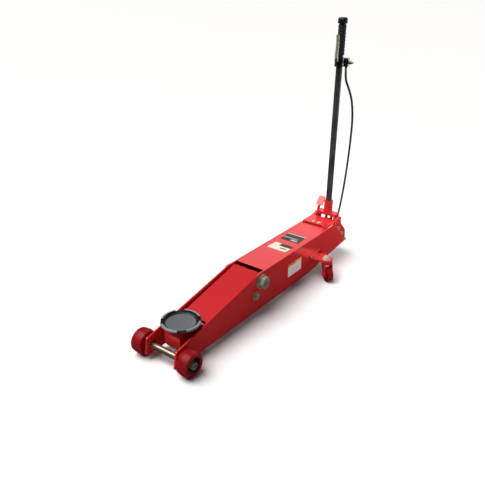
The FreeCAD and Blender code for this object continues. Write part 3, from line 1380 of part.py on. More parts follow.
doc.recompute()
for thing in doc.Objects:
    for word in ("Invalid", "Error"):
        if word in thing.State:
            raise ValueError("%s is %s" % (thing.Label, word))
os.makedirs("parts", exist_ok=True)
for label, thing in PIECES.items():
    if thing.Shape.isNull() or not thing.Shape.isValid():
        raise ValueError(label + " has no valid shape")
    if not thing.Shape.Solids:
        raise ValueError(label + " holds no solid")
    thing.Shape.exportStep("parts/%s.step" % label)
print(len(PIECES), "pieces written")
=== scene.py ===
"""Looks of a long-chassis air and hydraulic floor jack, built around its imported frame."""

import json
import logging
import math
from dataclasses import dataclass, field
from enum import Enum
from typing import Iterable, Mapping, Optional, Sequence, Union

import bmesh
import bpy
from mathutils import Matrix, Vector


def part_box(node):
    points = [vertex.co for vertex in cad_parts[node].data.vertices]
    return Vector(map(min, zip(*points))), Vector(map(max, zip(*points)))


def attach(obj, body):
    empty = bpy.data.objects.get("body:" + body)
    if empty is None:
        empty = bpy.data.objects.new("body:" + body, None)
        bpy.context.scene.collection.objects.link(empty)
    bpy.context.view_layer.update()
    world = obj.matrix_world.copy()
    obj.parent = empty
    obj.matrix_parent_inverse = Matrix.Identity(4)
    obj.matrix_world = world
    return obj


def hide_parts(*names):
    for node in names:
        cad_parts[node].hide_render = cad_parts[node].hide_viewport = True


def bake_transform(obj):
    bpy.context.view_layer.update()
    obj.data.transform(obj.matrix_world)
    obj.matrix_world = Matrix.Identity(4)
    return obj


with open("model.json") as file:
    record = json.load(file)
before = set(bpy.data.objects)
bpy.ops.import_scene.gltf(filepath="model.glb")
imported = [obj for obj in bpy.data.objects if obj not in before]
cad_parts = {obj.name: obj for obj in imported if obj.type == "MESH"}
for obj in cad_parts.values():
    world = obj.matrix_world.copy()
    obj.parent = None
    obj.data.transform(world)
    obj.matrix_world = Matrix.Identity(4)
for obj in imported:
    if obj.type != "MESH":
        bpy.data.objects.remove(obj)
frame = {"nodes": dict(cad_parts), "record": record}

logging.basicConfig(level=logging.INFO, format="%(message)s")
log = logging.getLogger("floor_jack")

MM = 0.001
MERGE = 0.002 * MM
FLAT_ANGLE = math.radians(0.2)
SHARP_ANGLE = math.radians(35)
WELD_SHARP = 60.0
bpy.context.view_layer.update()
SLOT_OF = {row["node"]: row["material_slot"] for row in frame["record"]["subparts"]}
BODY_OF = {
    node: body
    for body, nodes in frame["record"]["behaviour"]["bodies"].items()
    for node in nodes
}

Colour = tuple[float, float, float, float]
Point = tuple[float, float, float]
Cut = tuple[float, float, float, float, int]


class Axis(Enum):
    """Directions that pieces are turned about or measured along."""

    X = (1.0, 0.0, 0.0)
    Y = (0.0, 1.0, 0.0)
    Z = (0.0, 0.0, 1.0)


class Side(Enum):
    """The jack's left (+Y) and right (-Y) sides."""

    LEFT = 1
    RIGHT = -1

    @property
    def word(self) -> str:
        """The side as node names spell it."""
        return self.name.lower()


# ------------------------------------------------------------------ colours and shader nodes


def linear(code: str) -> Colour:
    """Turns an sRGB hex colour to linear light.

    Args:
        code: six hex digits after a #.

    Returns:
        Red, green, blue and an alpha of 1.
    """
    channels = [int(code[start:start + 2], 16) / 255 for start in (1, 3, 5)]
    red, green, blue = [c / 12.92 if c <= 0.04045 else ((c + 0.055) / 1.055) ** 2.4 for c in channels]
    return red, green, blue, 1.0


def add_node(
    tree: bpy.types.NodeTree,
    kind: str,
    values: Optional[Mapping[Union[str, int], object]] = None,
    links: Optional[Mapping[Union[str, int], bpy.types.NodeSocket]] = None,
    **settings: object,
) -> bpy.types.Node:
    """Adds a shader node with its settings, input values and incoming links.

    Args:
        tree: the material's node tree.
        kind: the node's type name, without the ShaderNode prefix.
        values: input socket to its value.
        links: input socket to the output that feeds it.
        settings: properties of the node itself.

    Returns:
        The new node.
    """
    node = tree.nodes.new("ShaderNode" + kind)
    for name, value in settings.items():
        setattr(node, name, value)
    for socket, value in (values or {}).items():
        node.inputs[socket].default_value = value
    for socket, source in (links or {}).items():
        tree.links.new(source, node.inputs[socket])
    return node


@dataclass(frozen=True)
class Finish:
    """What every finish shares: its name, its two colours and its roughness."""

    name: str
    colour: str
    second: str
    roughness: float

    def material(self) -> bpy.types.Material:
        """The finish's material, made once.

        Returns:
            The material.
        """
        known = bpy.data.materials.get(self.name)
        if known is not None:
            return known
        made = bpy.data.materials.new(self.name)
        made.use_nodes = True
        tree = made.node_tree
        shader = tree.nodes["Principled BSDF"]
        place = add_node(tree, "TexCoord").outputs["Object"]
        self.paint(tree, shader, place)
        return made

    def paint(
        self,
        tree: bpy.types.NodeTree,
        shader: bpy.types.Node,
        place: bpy.types.NodeSocket,
    ) -> None:
        """Wires the finish's nodes to the shader; each kind of finish has its own."""
        raise NotImplementedError

    def noise(
        self,
        tree: bpy.types.NodeTree,
        place: bpy.types.NodeSocket,
        size: float,
        detail: float = 2.0,
        stretch: Point = (1.0, 1.0, 1.0),
    ) -> bpy.types.NodeSocket:
        """Adds a soft random pattern.

        Args:
            tree: the material's node tree.
            place: the coordinates it follows.
            size: its grain in metres.
            detail: octaves of finer grain.
            stretch: how much finer it is along each axis.

        Returns:
            The pattern's value, 0 to 1.
        """
        spot = add_node(tree, "Mapping", {"Scale": stretch}, {"Vector": place})
        values = {"Scale": 1 / size, "Detail": detail, "Roughness": 0.55}
        return add_node(tree, "TexNoise", values, {"Vector": spot.outputs["Vector"]}).outputs["Fac"]

    def spread(
        self,
        tree: bpy.types.NodeTree,
        value: bpy.types.NodeSocket,
        low: float,
        high: float,
    ) -> bpy.types.NodeSocket:
        """Adds a remap of a pattern's busy middle, 0.3 to 0.7, to low..high, clamped."""
        values = {"From Min": 0.3, "From Max": 0.7, "To Min": low, "To Max": high}
        return add_node(tree, "MapRange", values, {"Value": value}).outputs["Result"]

    def tint(
        self,
        tree: bpy.types.NodeTree,
        shader: bpy.types.Node,
        factor: bpy.types.NodeSocket,
    ) -> None:
        """Colours the shader with a mix of the finish's two colours by a factor."""
        values = {6: linear(self.colour), 7: linear(self.second)}
        mix = add_node(tree, "Mix", values, {0: factor}, data_type="RGBA")
        tree.links.new(mix.outputs[2], shader.inputs["Base Color"])

    def relief(
        self,
        tree: bpy.types.NodeTree,
        shader: bpy.types.Node,
        height: bpy.types.NodeSocket,
        depth: float,
        strength: float,
    ) -> None:
        """Adds a bump of a real depth in metres to the shader."""
        bump = add_node(tree, "Bump", {"Strength": strength, "Distance": depth}, {"Height": height})
        tree.links.new(bump.outputs["Normal"], shader.inputs["Normal"])


@dataclass(frozen=True)
class Enamel(Finish):
    """Alkyd enamel sprayed on welded steel: deep colour under a clear, slightly rippled skin."""

    coat: float = 0.25
    peel: float = 2.2 * MM
    shine: float = 0.4
    film_patch: float = 90 * MM
    handling_patch: float = 25 * MM

    def paint(
        self,
        tree: bpy.types.NodeTree,
        shader: bpy.types.Node,
        place: bpy.types.NodeSocket,
    ) -> None:
        """The film's thickness varies over a hand's width, which the eye reads as soft tone;
        the ripple, about 2 mm across, breaks up the edges of reflections."""
        film = self.spread(tree, self.noise(tree, place, self.film_patch), 0.0, 1.0)
        self.tint(tree, shader, film)
        handling = self.noise(tree, place, self.handling_patch, 4.0)
        rough = self.spread(tree, handling, self.roughness * 0.85, self.roughness * 1.25)
        tree.links.new(rough, shader.inputs["Roughness"])
        shader.inputs["Specular IOR Level"].default_value = self.shine
        shader.inputs["Coat Weight"].default_value = self.coat
        shader.inputs["Coat Roughness"].default_value = 0.08
        self.relief(tree, shader, self.noise(tree, place, self.peel), 0.02 * MM, 0.5)


@dataclass(frozen=True)
class Plated(Finish):
    """Zinc plate with a yellow passivate on cold-formed steel: a cloudy grey-green sheen."""

    metal: float = 0.5
    cloud_size: float = 9 * MM
    sheen_size: float = 3 * MM
    pore_size: float = 1.2 * MM

    def paint(
        self,
        tree: bpy.types.NodeTree,
        shader: bpy.types.Node,
        place: bpy.types.NodeSocket,
    ) -> None:
        """Clouds of passivate a few millimetres wide tint the zinc and dull it unevenly."""
        cloud = self.spread(tree, self.noise(tree, place, self.cloud_size, 3.0), 0.0, 1.0)
        self.tint(tree, shader, cloud)
        sheen = self.noise(tree, place, self.sheen_size)
        rough = self.spread(tree, sheen, self.roughness - 0.08, self.roughness + 0.1)
        tree.links.new(rough, shader.inputs["Roughness"])
        shader.inputs["Metallic"].default_value = self.metal
        self.relief(tree, shader, self.noise(tree, place, self.pore_size), 0.01 * MM, 0.4)


@dataclass(frozen=True)
class Turned(Finish):
    """Turned or drawn steel: fine lines round or along the bar, with a thin film of oil."""

    lines: float = 0.6 * MM
    along: Axis = Axis.Y
    metal: float = 1.0

    def paint(
        self,
        tree: bpy.types.NodeTree,
        shader: bpy.types.Node,
        place: bpy.types.NodeSocket,
    ) -> None:
        """The lines lie a fraction of a millimetre apart, drawn coarser than life so that they show."""
        stretch = tuple(8.0 if part else 0.6 for part in self.along.value)
        grain = self.noise(tree, place, self.lines * 8, 3.0, stretch)
        tone = self.spread(tree, grain, 0.0, 1.0)
        self.tint(tree, shader, tone)
        rough = self.spread(tree, grain, self.roughness - 0.05, self.roughness + 0.1)
        tree.links.new(rough, shader.inputs["Roughness"])
        shader.inputs["Metallic"].default_value = self.metal
        self.relief(tree, shader, grain, 0.01 * MM, 0.5)


@dataclass(frozen=True)
class Cast(Finish):
    """Sand-cast or die-cast metal: a pebbled skin that scatters light."""

    metal: float = 1.0
    grit: float = 1.4 * MM

    def paint(
        self,
        tree: bpy.types.NodeTree,
        shader: bpy.types.Node,
        place: bpy.types.NodeSocket,
    ) -> None:
        """The grit of the mould is about a millimetre, with darker pockets between the grains."""
        grit = self.noise(tree, place, self.grit, 4.0)
        tone = self.spread(tree, grit, 0.0, 1.0)
        self.tint(tree, shader, tone)
        shader.inputs["Roughness"].default_value = self.roughness
        shader.inputs["Metallic"].default_value = self.metal
        self.relief(tree, shader, grit, 0.12 * MM, 0.7)


@dataclass(frozen=True)
class Moulded(Finish):
    """Moulded rubber or plastic: dark, with a fine matt texture from the tool."""

    grain: float = 0.9 * MM
    depth: float = 0.05 * MM
    dust_patch: float = 30 * MM

    def paint(
        self,
        tree: bpy.types.NodeTree,
        shader: bpy.types.Node,
        place: bpy.types.NodeSocket,
    ) -> None:
        """A spark-eroded grain under a millimetre wide keeps highlights broad and soft."""
        grain = self.noise(tree, place, self.grain, 2.0)
        dust = self.spread(tree, self.noise(tree, place, self.dust_patch, 3.0), 0.0, 1.0)
        self.tint(tree, shader, dust)
        rough = self.spread(tree, grain, self.roughness - 0.06, self.roughness + 0.08)
        tree.links.new(rough, shader.inputs["Roughness"])
        self.relief(tree, shader, grain, self.depth, 0.6)


@dataclass(frozen=True)
class Print(Finish):
    """Ink on a vinyl label: an even colour under a satin film."""

    smudge_patch: float = 18 * MM

    def paint(
        self,
        tree: bpy.types.NodeTree,
        shader: bpy.types.Node,
        place: bpy.types.NodeSocket,
    ) -> None:
        """Handling leaves faint smudges some centimetres wide on the film."""
        smudge = self.spread(tree, self.noise(tree, place, self.smudge_patch, 3.0), 0.0, 1.0)
        self.tint(tree, shader, smudge)
        rough = self.spread(tree, smudge, self.roughness, self.roughness + 0.1)
        tree.links.new(rough, shader.inputs["Roughness"])


# Painted plate: a deep red whose clear skin picks up pink from the lamps behind.
RED_ENAMEL = Enamel("red_enamel", "#B60A12", "#A8080F", 0.30)
# Cast wheels: a duller red rubbed matt by the floor, darker partly in their own paint and partly as
# painted shade; the recess is painted shade in dark brown.
WHEEL_RED_AND_SHADE = Enamel("red_wheel_enamel", "#96101A", "#760A12", 0.36, coat=0.0, shine=0.12)
WHEEL_RECESS_SHADE = Enamel("grimy_wheel_face", "#4A1411", "#2E0E0D", 0.5, coat=0.1)
# Handle tube: soot black with slightly paler patches where hands and dust reach it.
BLACK_ENAMEL = Enamel("black_tube_enamel", "#403D3F", "#272526", 0.42, coat=0.12, peel=4 * MM)

# Bolts, nuts and washers: warm grey-green clouds; the kingpins' caps are paler and cleaner.
CAP_STEEL = Plated("bright_zinc_cap", "#D9D6CF", "#B9B5AC", 0.3)
ZINC = Plated("zinc_yellow_passivate", "#B9B9A0", "#96997F", 0.34)

# Bare steel: tool lines round each bar, from the dull brown axle to the mirror of the ram.
BRIGHT_BAR = Turned(
    "bright_drawn_bar", "#988D78", "#6F6553", 0.3, metal=0.75, lines=1.2 * MM, along=Axis.X
)
TURNED_STEEL = Turned("turned_steel", "#A5A39A", "#7E7C75", 0.34, metal=0.55)
CHROME = Turned("hard_chrome_rod", "#D8DADC", "#C4C6C9", 0.10)
SPRING_WIRE = Turned("spring_wire", "#7C7A76", "#5B5955", 0.34)

# Saddle: a grey dish with a pale, worn rim; its inner wall, notches and underside are painted near
# black as painted shadow and painted dark reflection.
SADDLE_STEEL = Turned(
    "saddle_floor_steel", "#B4B5B9", "#777980", 0.36, metal=0.85, lines=1.0 * MM
)
RIM_STEEL = Turned("saddle_rim_steel", "#AEB6BD", "#7C848C", 0.4, lines=1.0 * MM, metal=0.4)
# Painted shade: near-black steel standing in for the saddle's shadowed wall, notches and underside and
# the dark reflection in its wall.
SADDLE_SHADE_STEEL = Turned("saddle_blacked_steel", "#1B2024", "#0E1114", 0.42, metal=0.5)

# Castings: pebbled skins, dark on the pump block and light on the valve body.
CAST_IRON = Cast("pump_cast_iron", "#4A4A4A", "#2E2E2E", 0.55)
CAST_ALUMINIUM = Cast("valve_cast_aluminium", "#9A9C9E", "#7E8082", 0.42)

# Rubber, nylon and the ring of grease round each hub nut: near black, told apart by their shine.
BLACK_RUBBER = Moulded("black_rubber", "#232122", "#1A1819", 0.62)
BLACK_GREASE = Moulded("greased_hub_face", "#1B1513", "#100C0B", 0.3, grain=3 * MM)
BLACK_PLASTIC = Moulded("black_nylon", "#1C1C1D", "#121213", 0.5, grain=0.5 * MM)

# Label inks: flat colours that smudges make slightly uneven.
VINYL_BLACK = Print("vinyl_black", "#2B2E2C", "#222523", 0.42)
VINYL_GREY = Print("vinyl_grey", "#B9B3B0", "#A59F9C", 0.42)
VINYL_CREAM = Print("vinyl_cream", "#E6DCC8", "#D9CEB8", 0.42)
VINYL_WHITE = Print("vinyl_white", "#E4DEDC", "#D6CFCC", 0.42)
VINYL_ORANGE = Print("vinyl_orange", "#E0782A", "#D66C20", 0.42)
VINYL_YELLOW = Print("vinyl_yellow", "#E8B04A", "#DDA43E", 0.42)

# Floor: a sheet of white paper.
PAPER = Print("pale_floor_paper", "#F2F1F0", "#EFEEED", 0.8)

SLOT_FINISH = {
    "red_enamel": RED_ENAMEL,
    "red_wheel": WHEEL_RED_AND_SHADE,
    "zinc_steel": ZINC,
    "bright_steel": TURNED_STEEL,
    "chrome_rod": CHROME,
    "saddle_plate": SADDLE_STEEL,
    "cast_block": CAST_IRON,
    "cast_aluminium": CAST_ALUMINIUM,
    "black_enamel": BLACK_ENAMEL,
    "black_rubber": BLACK_RUBBER,
    "black_plastic": BLACK_PLASTIC,
    "spring_wire": SPRING_WIRE,
}


# ------------------------------------------------------------------ shapes


def new_piece(
    name: str,
    shape: bmesh.types.BMesh,
    finishes: Sequence[Finish],
    sharp: float = 32.0,
) -> bpy.types.Object:
    """Makes an object of a finished shape, smooth up to an angle.

    Args:
        name: the piece's name.
        shape: its mesh in the jack's frame; it is freed.
        finishes: what its material indices stand for.
        sharp: edges that turn by more than this many degrees stay crisp.

    Returns:
        The object, linked to the scene.
    """
    mesh = bpy.data.meshes.new(name)
    shape.to_mesh(mesh)
    shape.free()
    mesh.shade_smooth()
    mesh.set_sharp_from_angle(angle=math.radians(sharp))
    for finish in finishes:
        mesh.materials.append(finish.material())
    piece = bpy.data.objects.new(name, mesh)
    bpy.context.scene.collection.objects.link(piece)
    even = piece.modifiers.new("even_shading", "WEIGHTED_NORMAL")
    even.keep_sharp = True
    return piece


def enrol(
    piece: bpy.types.Object,
    body: str,
    nodes: Iterable[str] = (),
) -> bpy.types.Object:
    """Ties a piece to its body, in place of the nodes it stands for.

    Args:
        piece: the new piece.
        body: the body that it moves with.
        nodes: CAD nodes that it replaces.

    Returns:
        The piece.
    """
    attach(piece, body)
    nodes = list(nodes)
    if nodes:
        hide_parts(*nodes)
    log.info("%s rides on %s", piece.name, body)
    return piece


def node_shape(node: str) -> bmesh.types.BMesh:
    """A merged copy of a CAD node's mesh, with its flat faces whole.

    Args:
        node: the CAD node's name.

    Returns:
        The copy.
    """
    shape = bmesh.new()
    shape.from_mesh(frame["nodes"][node].data)
    bmesh.ops.remove_doubles(shape, verts=shape.verts, dist=MERGE)
    bmesh.ops.dissolve_limit(shape, angle_limit=FLAT_ANGLE, verts=shape.verts, edges=shape.edges)
    return shape


def ease_edges(shape: bmesh.types.BMesh, width: float) -> None:
    """Rounds the sharp edges of a shape.

    Args:
        shape: the mesh.
        width: how far the rounding reaches from each edge, in metres.
    """
    sharp = [
        edge
        for edge in shape.edges
        if edge.is_manifold and edge.calc_face_angle(0.0) > SHARP_ANGLE
    ]
    bmesh.ops.bevel(
        shape,
        geom=sharp,
        offset=width,
        offset_type="OFFSET",
        affect="EDGES",
        segments=2,
        profile=0.5,
        material=-1,
        clamp_overlap=True,
    )


def refine(node: str, finish: Optional[Finish] = None, edge: float = 0.8 * MM) -> bpy.types.Object:
    """Replaces a CAD node by a copy with eased edges and even shading.

    Args:
        node: the CAD node's name.
        finish: its finish, or None for the one of its material slot.
        edge: reach of the eased edges in metres.

    Returns:
        The new piece.
    """
    shape = node_shape(node)
    ease_edges(shape, edge)
    finish = finish or SLOT_FINISH[SLOT_OF[node]]
    piece = new_piece(node + "_made", shape, [finish])
    return enrol(piece, BODY_OF[node], [node])


def turn_to(axis: Vector) -> Matrix:
    """The rotation that takes +Z to an axis."""
    return axis.to_track_quat("Z", "Y").to_matrix().to_4x4()


def lathe(
    outline: Sequence[tuple[float, float]],
    centre: Vector,
    axis: Vector,
    steps: int,
) -> bmesh.types.BMesh:
    """Spins a closed outline that stays clear of the axis.

    Args:
        outline: points as distance along the axis from the centre, and radius.
        centre: a point on the axis.
        axis: the axis' direction.
        steps: facets round it.

    Returns:
        The spun shape, in place.
    """
    shape = bmesh.new()
    verts = [shape.verts.new((radius, 0.0, along)) for along, radius in outline]
    edges = [shape.edges.new(pair) for pair in zip(verts, verts[1:] + verts[:1])]
    bmesh.ops.spin(
        shape,
        geom=verts + edges,
        cent=(0, 0, 0),
        axis=(0, 0, 1),
        dvec=(0, 0, 0),
        angle=2 * math.pi,
        steps=steps,
        use_merge=True,
        use_duplicate=False,
    )
    bmesh.ops.remove_doubles(shape, verts=shape.verts, dist=MERGE)
    bmesh.ops.recalc_face_normals(shape, faces=shape.faces)
    place = Matrix.Translation(centre) @ turn_to(axis)
    bmesh.ops.transform(shape, matrix=place, verts=shape.verts)
    return shape


def rounded(outline: Sequence[tuple[float, float, float]], steps: int = 5) -> list[tuple[float, float]]:
    """Rounds the corners of an outline.

    Args:
        outline: points as along, radius and corner rounding.
        steps: facets round each corner.

    Returns:
        The outline's points, corners replaced by arcs.
    """
    made: list[tuple[float, float]] = []
    count = len(outline)
    for index, (along, radius, ease) in enumerate(outline):
        corner = Vector((along, radius))
        if not ease:
            made.append((along, radius))
            continue
        before = (Vector(outline[index - 1][:2]) - corner).normalized()
        after = (Vector(outline[(index + 1) % count][:2]) - corner).normalized()
        half = before.angle(after) / 2
        reach = ease / math.tan(half)
        centre = corner + (before + after).normalized() * ease / math.sin(half)
        first, last = corner + before * reach - centre, corner + after * reach - centre
        for step in range(steps + 1):
            spoke = first.slerp(last, step / steps).normalized() * ease
            made.append(tuple(centre + spoke))
    return made


def bead(start: Point, end: Point, radius: float) -> bmesh.types.BMesh:
    """A weld bead: a rippled run of filler along a line.

    Args:
        start: where the run begins.
        end: where it stops.
        radius: the bead's half width.

    Returns:
        The bead's shape.
    """
    ripple_pitch = 3.6 * MM
    valley_share = 0.84
    shape = bmesh.new()
    run = Vector(end) - Vector(start)
    turn = turn_to(run)
    count = max(2, round(run.length / ripple_pitch * 2))
    last: list[bmesh.types.BMEdge] = []
    for step in range(count + 1):
        width = radius * (1.0 if step % 2 else valley_share)
        spot = Matrix.Translation(Vector(start) + run * step / count) @ turn
        ends = step in (0, count)
        made = bmesh.ops.create_circle(shape, cap_ends=ends, radius=width, segments=8, matrix=spot)
        verts = made["verts"]
        near = {edge for vert in verts for edge in vert.link_edges if len(edge.link_faces) < 2}
        ring = [edge for edge in near if all(vert in verts for vert in edge.verts)]
        if last:
            bmesh.ops.bridge_loops(shape, edges=last + ring)
        last = ring
    bmesh.ops.recalc_face_normals(shape, faces=shape.faces)
    return shape


def station(back: float) -> float:
    """The row's X at a distance behind the front axle, in metres."""
    low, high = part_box("front_axle")
    return (low.x + high.x) / 2 - back


# ------------------------------------------------------------------ sub-assemblies


@dataclass
class Label:
    """A vinyl label stuck flat on a panel, cut into plain coloured areas."""

    name: str
    body: str
    origin: Vector
    right: Vector
    up: Vector
    width: float
    height: float
    thick: float = 0.25 * MM

    def build(
        self,
        cuts: Sequence[Cut],
        finishes: Sequence[Finish],
        slant: float = 0.0,
    ) -> bpy.types.Object:
        """Makes the label.

        Args:
            cuts: areas as left, bottom, right and top in shares of the label, and a finish's index.
            finishes: the inks, the ground first.
            slant: how far the top leans to the right, in metres.

        Returns:
            The label.
        """
        shape = bmesh.new()
        bmesh.ops.create_grid(shape, x_segments=1, y_segments=1, size=0.5)
        bmesh.ops.translate(shape, vec=(0.5, 0.5, 0.0), verts=shape.verts)
        for left, low, right, top, _ in cuts:
            upright = [((edge, 0, 0), (1, 0, 0)) for edge in (left, right)]
            level = [((0, edge, 0), (0, 1, 0)) for edge in (low, top)]
            for place, normal in upright + level:
                geometry = shape.verts[:] + shape.edges[:] + shape.faces[:]
                bmesh.ops.bisect_plane(
                    shape, geom=geometry, dist=1e-6, plane_co=place, plane_no=normal
                )
        for face in shape.faces:
            spot = face.calc_center_median()
            for left, low, right, top, ink in cuts:
                if left < spot.x < right and low < spot.y < top:
                    face.material_index = ink
        out = self.right.cross(self.up)
        for vert in shape.verts:
            lean = slant * vert.co.y
            vert.co = (self.origin + self.right * (vert.co.x * self.width + lean)
                       + self.up * vert.co.y * self.height + out * self.thick)
        bmesh.ops.recalc_face_normals(shape, faces=shape.faces)
        if shape.faces[:][0].normal.dot(out) < 0:
            bmesh.ops.reverse_faces(shape, faces=shape.faces)
        bmesh.ops.solidify(shape, geom=shape.faces[:], thickness=self.thick * 0.8)
        bmesh.ops.recalc_face_normals(shape, faces=shape.faces)
        piece = new_piece(self.name, shape, finishes)
        return enrol(piece, self.body)


@dataclass
class Chassis:
    """The welded frame: side plates, top cover, cross bars, tail, brackets and their fasteners."""

    plate_edge: float = 1.6 * MM
    bracket_edge: float = 0.9 * MM
    fastener_edge: float = 0.6 * MM
    weld_radius: float = 2.6 * MM
    label_back: float = 824 * MM
    label_low: float = 90.5 * MM
    label_size: tuple[float, float] = (127 * MM, 71 * MM)
    front_mark_back: float = 837 * MM
    rear_mark_back: float = 963 * MM
    mark_half: float = 57 * MM
    front_mark_long: float = 78 * MM
    rear_mark_long: float = 92 * MM
    front_mark_slant: float = 6 * MM
    rear_mark_slant: float = -4 * MM
    cover_wall: float = 5 * MM
    weld_rest: float = 1.2 * MM

    def build(self) -> None:
        """Builds the frame's pieces."""
        for node in ("side_plate_left", "side_plate_right", "top_cover"):
            refine(node, edge=self.plate_edge)
        for node in ("frame_tie_bars", "tail_brace", "yoke_bracket", "caster_brackets",
                     "cylinder_cradles"):
            refine(node, edge=self.bracket_edge)
        for node in ("link_anchor_bolts", "rear_bolts", "deck_bolts", "split_pins",
                     "pivot_shaft", "pivot_washers", "pivot_nuts", "yoke_pins"):
            refine(node, edge=self.fastener_edge)
        refine("kingpins", CAP_STEEL, self.fastener_edge)
        self.welds()
        self.side_label()
        self.cover_marks()

    def welds(self) -> None:
        """Beads that join the caster brackets' flanges to the side plates."""
        low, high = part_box("caster_brackets")
        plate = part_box("side_plate_left")[1].y
        rest = self.weld_rest
        for side in Side:
            name = "caster_bracket_weld_" + side.word
            face = side.value * (plate + rest)
            shape = bead((low.x + rest, face, high.z), (high.x, face, high.z), self.weld_radius)
            enrol(new_piece(name, shape, [RED_ENAMEL], WELD_SHARP), "chassis")

    def side_label(self) -> None:
        """A plain white label with a warm stripe on the left side plate."""
        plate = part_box("side_plate_left")[1].y
        width, height = self.label_size
        corner = Vector((station(self.label_back), plate, self.label_low))
        rearward, up = Vector((-1, 0, 0)), Vector((0, 0, 1))
        label = Label("side_label", "chassis", corner, rearward, up, width, height)
        stripe = [(0.0, 0.80, 0.55, 1.0, 2), (0.55, 0.80, 1.0, 1.0, 3)]
        bars = [
            (0.08, low, right, low + 0.035, 1)
            for low, right in ((0.14, 0.92), (0.26, 0.82), (0.38, 0.92), (0.5, 0.82))
        ]
        label.build(stripe + bars, [VINYL_WHITE, VINYL_GREY, VINYL_ORANGE, VINYL_YELLOW])

    def cover_marks(self) -> None:
        """Two plain marks of slanted blocks on the top cover."""
        low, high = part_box("top_cover")
        along = Vector((low.x - high.x, 0, -self.cover_fall(low, high))).normalized()
        corner = Vector((high.x, -self.mark_half, high.z))
        across = Vector((0, 1, 0))
        wide = 2 * self.mark_half
        front = corner + along * (high.x - station(self.front_mark_back))
        front_mark = Label(
            "cover_mark_front", "chassis", front, across, along, wide, self.front_mark_long
        )
        front_mark.build(
            [(0.34, 0.62, 1.0, 1.0, 1), (0.0, 0.62, 0.34, 0.8, 0), (0.55, 0.3, 0.9, 0.42, 1)],
            [VINYL_CREAM, VINYL_BLACK],
            self.front_mark_slant,
        )
        rear = corner + along * (high.x - station(self.rear_mark_back))
        rear_mark = Label(
            "cover_mark_rear", "chassis", rear, across, along, wide, self.rear_mark_long
        )
        rear_mark.build(
            [(0.0, 0.9, 1.0, 1.0, 1), (0.0, 0.4, 0.8, 0.48, 1), (0.5, 0.12, 0.85, 0.3, 1)],
            [VINYL_BLACK, VINYL_GREY],
            self.rear_mark_slant,
        )

    def cover_fall(self, low: Vector, high: Vector) -> float:
        """How far the cover's top drops from its front edge to its rear edge."""
        return high.z - low.z - self.cover_wall


@dataclass
class FrontAxle:
    """The front axle with its wheels, spacers, washers and nuts."""

    nut_edge: float = 0.8 * MM
    collar_edge: float = 1.0 * MM
    washer_edge: float = 0.5 * MM
    axle_edge: float = 0.6 * MM
    rim_ease: float = 6 * MM
    face_ease: float = 2.5 * MM
    recess: float = 14 * MM
    recess_radius: float = 36 * MM
    hub_radius: float = 22 * MM
    hub_proud: float = 1.2 * MM
    shoulder: float = 4.5 * MM
    tread_ease: float = 45 * MM
    bore_gap: float = 0.05 * MM
    wall_slope: float = 3 * MM
    steps: int = 96

    def build(self) -> None:
        """Builds the axle's pieces."""
        refine("front_axle", BRIGHT_BAR, self.axle_edge)
        refine("axle_collars", edge=self.collar_edge)
        refine("axle_washers", edge=self.washer_edge)
        refine("axle_nuts", edge=self.nut_edge)
        for side in Side:
            self.wheel(side)

    def wheel(self, side: Side) -> bpy.types.Object:
        """Turns one cast wheel with its barrelled tread, recessed face and greased hub.

        Args:
            side: which end of the axle.

        Returns:
            The wheel.
        """
        node = "front_wheel_" + side.word
        low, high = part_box(node)
        centre = (low + high) / 2
        rim = (high.z - low.z) / 2
        half = (high.y - low.y) / 2
        axle_low, axle_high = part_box("front_axle")
        bore = (axle_high.x - axle_low.x) / 2 + self.bore_gap
        face = half - self.recess
        hub = face + self.hub_proud
        outline = [
            (-half, bore, 0.0),
            (-half, rim - self.shoulder, self.rim_ease),
            (0.0, rim, self.tread_ease),
            (half, rim - self.shoulder, self.rim_ease),
            (half, self.recess_radius + self.wall_slope, self.face_ease),
            (face, self.recess_radius - self.wall_slope, self.face_ease),
            (face, self.hub_radius, 0.8 * MM),
            (hub, self.hub_radius - self.hub_proud / 2, 0.4 * MM),
            (hub, bore, 0.0),
        ]
        shape = lathe(rounded(outline), centre, Vector((0, side.value, 0)), self.steps)
        for spot in shape.faces:
            middle = spot.calc_center_median()
            reach = math.hypot(middle.x - centre.x, middle.z - centre.z)
            outward = (middle.y - centre.y) * side.value > 0
            if outward and reach < self.hub_radius - 0.2 * MM:
                spot.material_index = 1
            # Faces in the recess take painted shade in dark brown.
            elif outward and reach < self.recess_radius + 1.0 * MM:
                spot.material_index = 2
        # The wheel's red is partly its own paint and partly painted shade; the recess material is
        # painted shade.
        piece = new_piece(node + "_made", shape, [WHEEL_RED_AND_SHADE, BLACK_GREASE, WHEEL_RECESS_SHADE])
        return enrol(piece, BODY_OF[node], [node])


@dataclass
class LiftArm:
    """The lifting arm, its pivot, its cranks and the saddle's bracket and levelling rods."""

    plate_edge: float = 1.4 * MM
    small_edge: float = 0.7 * MM
    weld_radius: float = 2.0 * MM

    def build(self) -> None:
        """Builds the arm's pieces."""
        for node in ("lift_arm_cheeks", "lift_arm_top_plate", "saddle_bracket"):
            refine(node, edge=self.plate_edge)
        for node in ("arm_pivot_tube", "lift_cranks", "crank_pin", "saddle_bracket_pin",
                     "link_front_pin", "radius_rods"):
            refine(node, edge=self.small_edge)
        self.seams()

    def seams(self) -> None:
        """Beads along the joints of the top plate with the cheeks."""
        low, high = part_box("lift_arm_top_plate")
        skin = 8 * MM
        for side in Side:
            name = "arm_seam_" + side.word
            edge = side.value * high.y
            start = (low.x + skin, edge, high.z - skin)
            shape = bead(start, (high.x - skin, edge, low.z), self.weld_radius)
            enrol(new_piece(name, shape, [RED_ENAMEL], WELD_SHARP), "lift_arm")


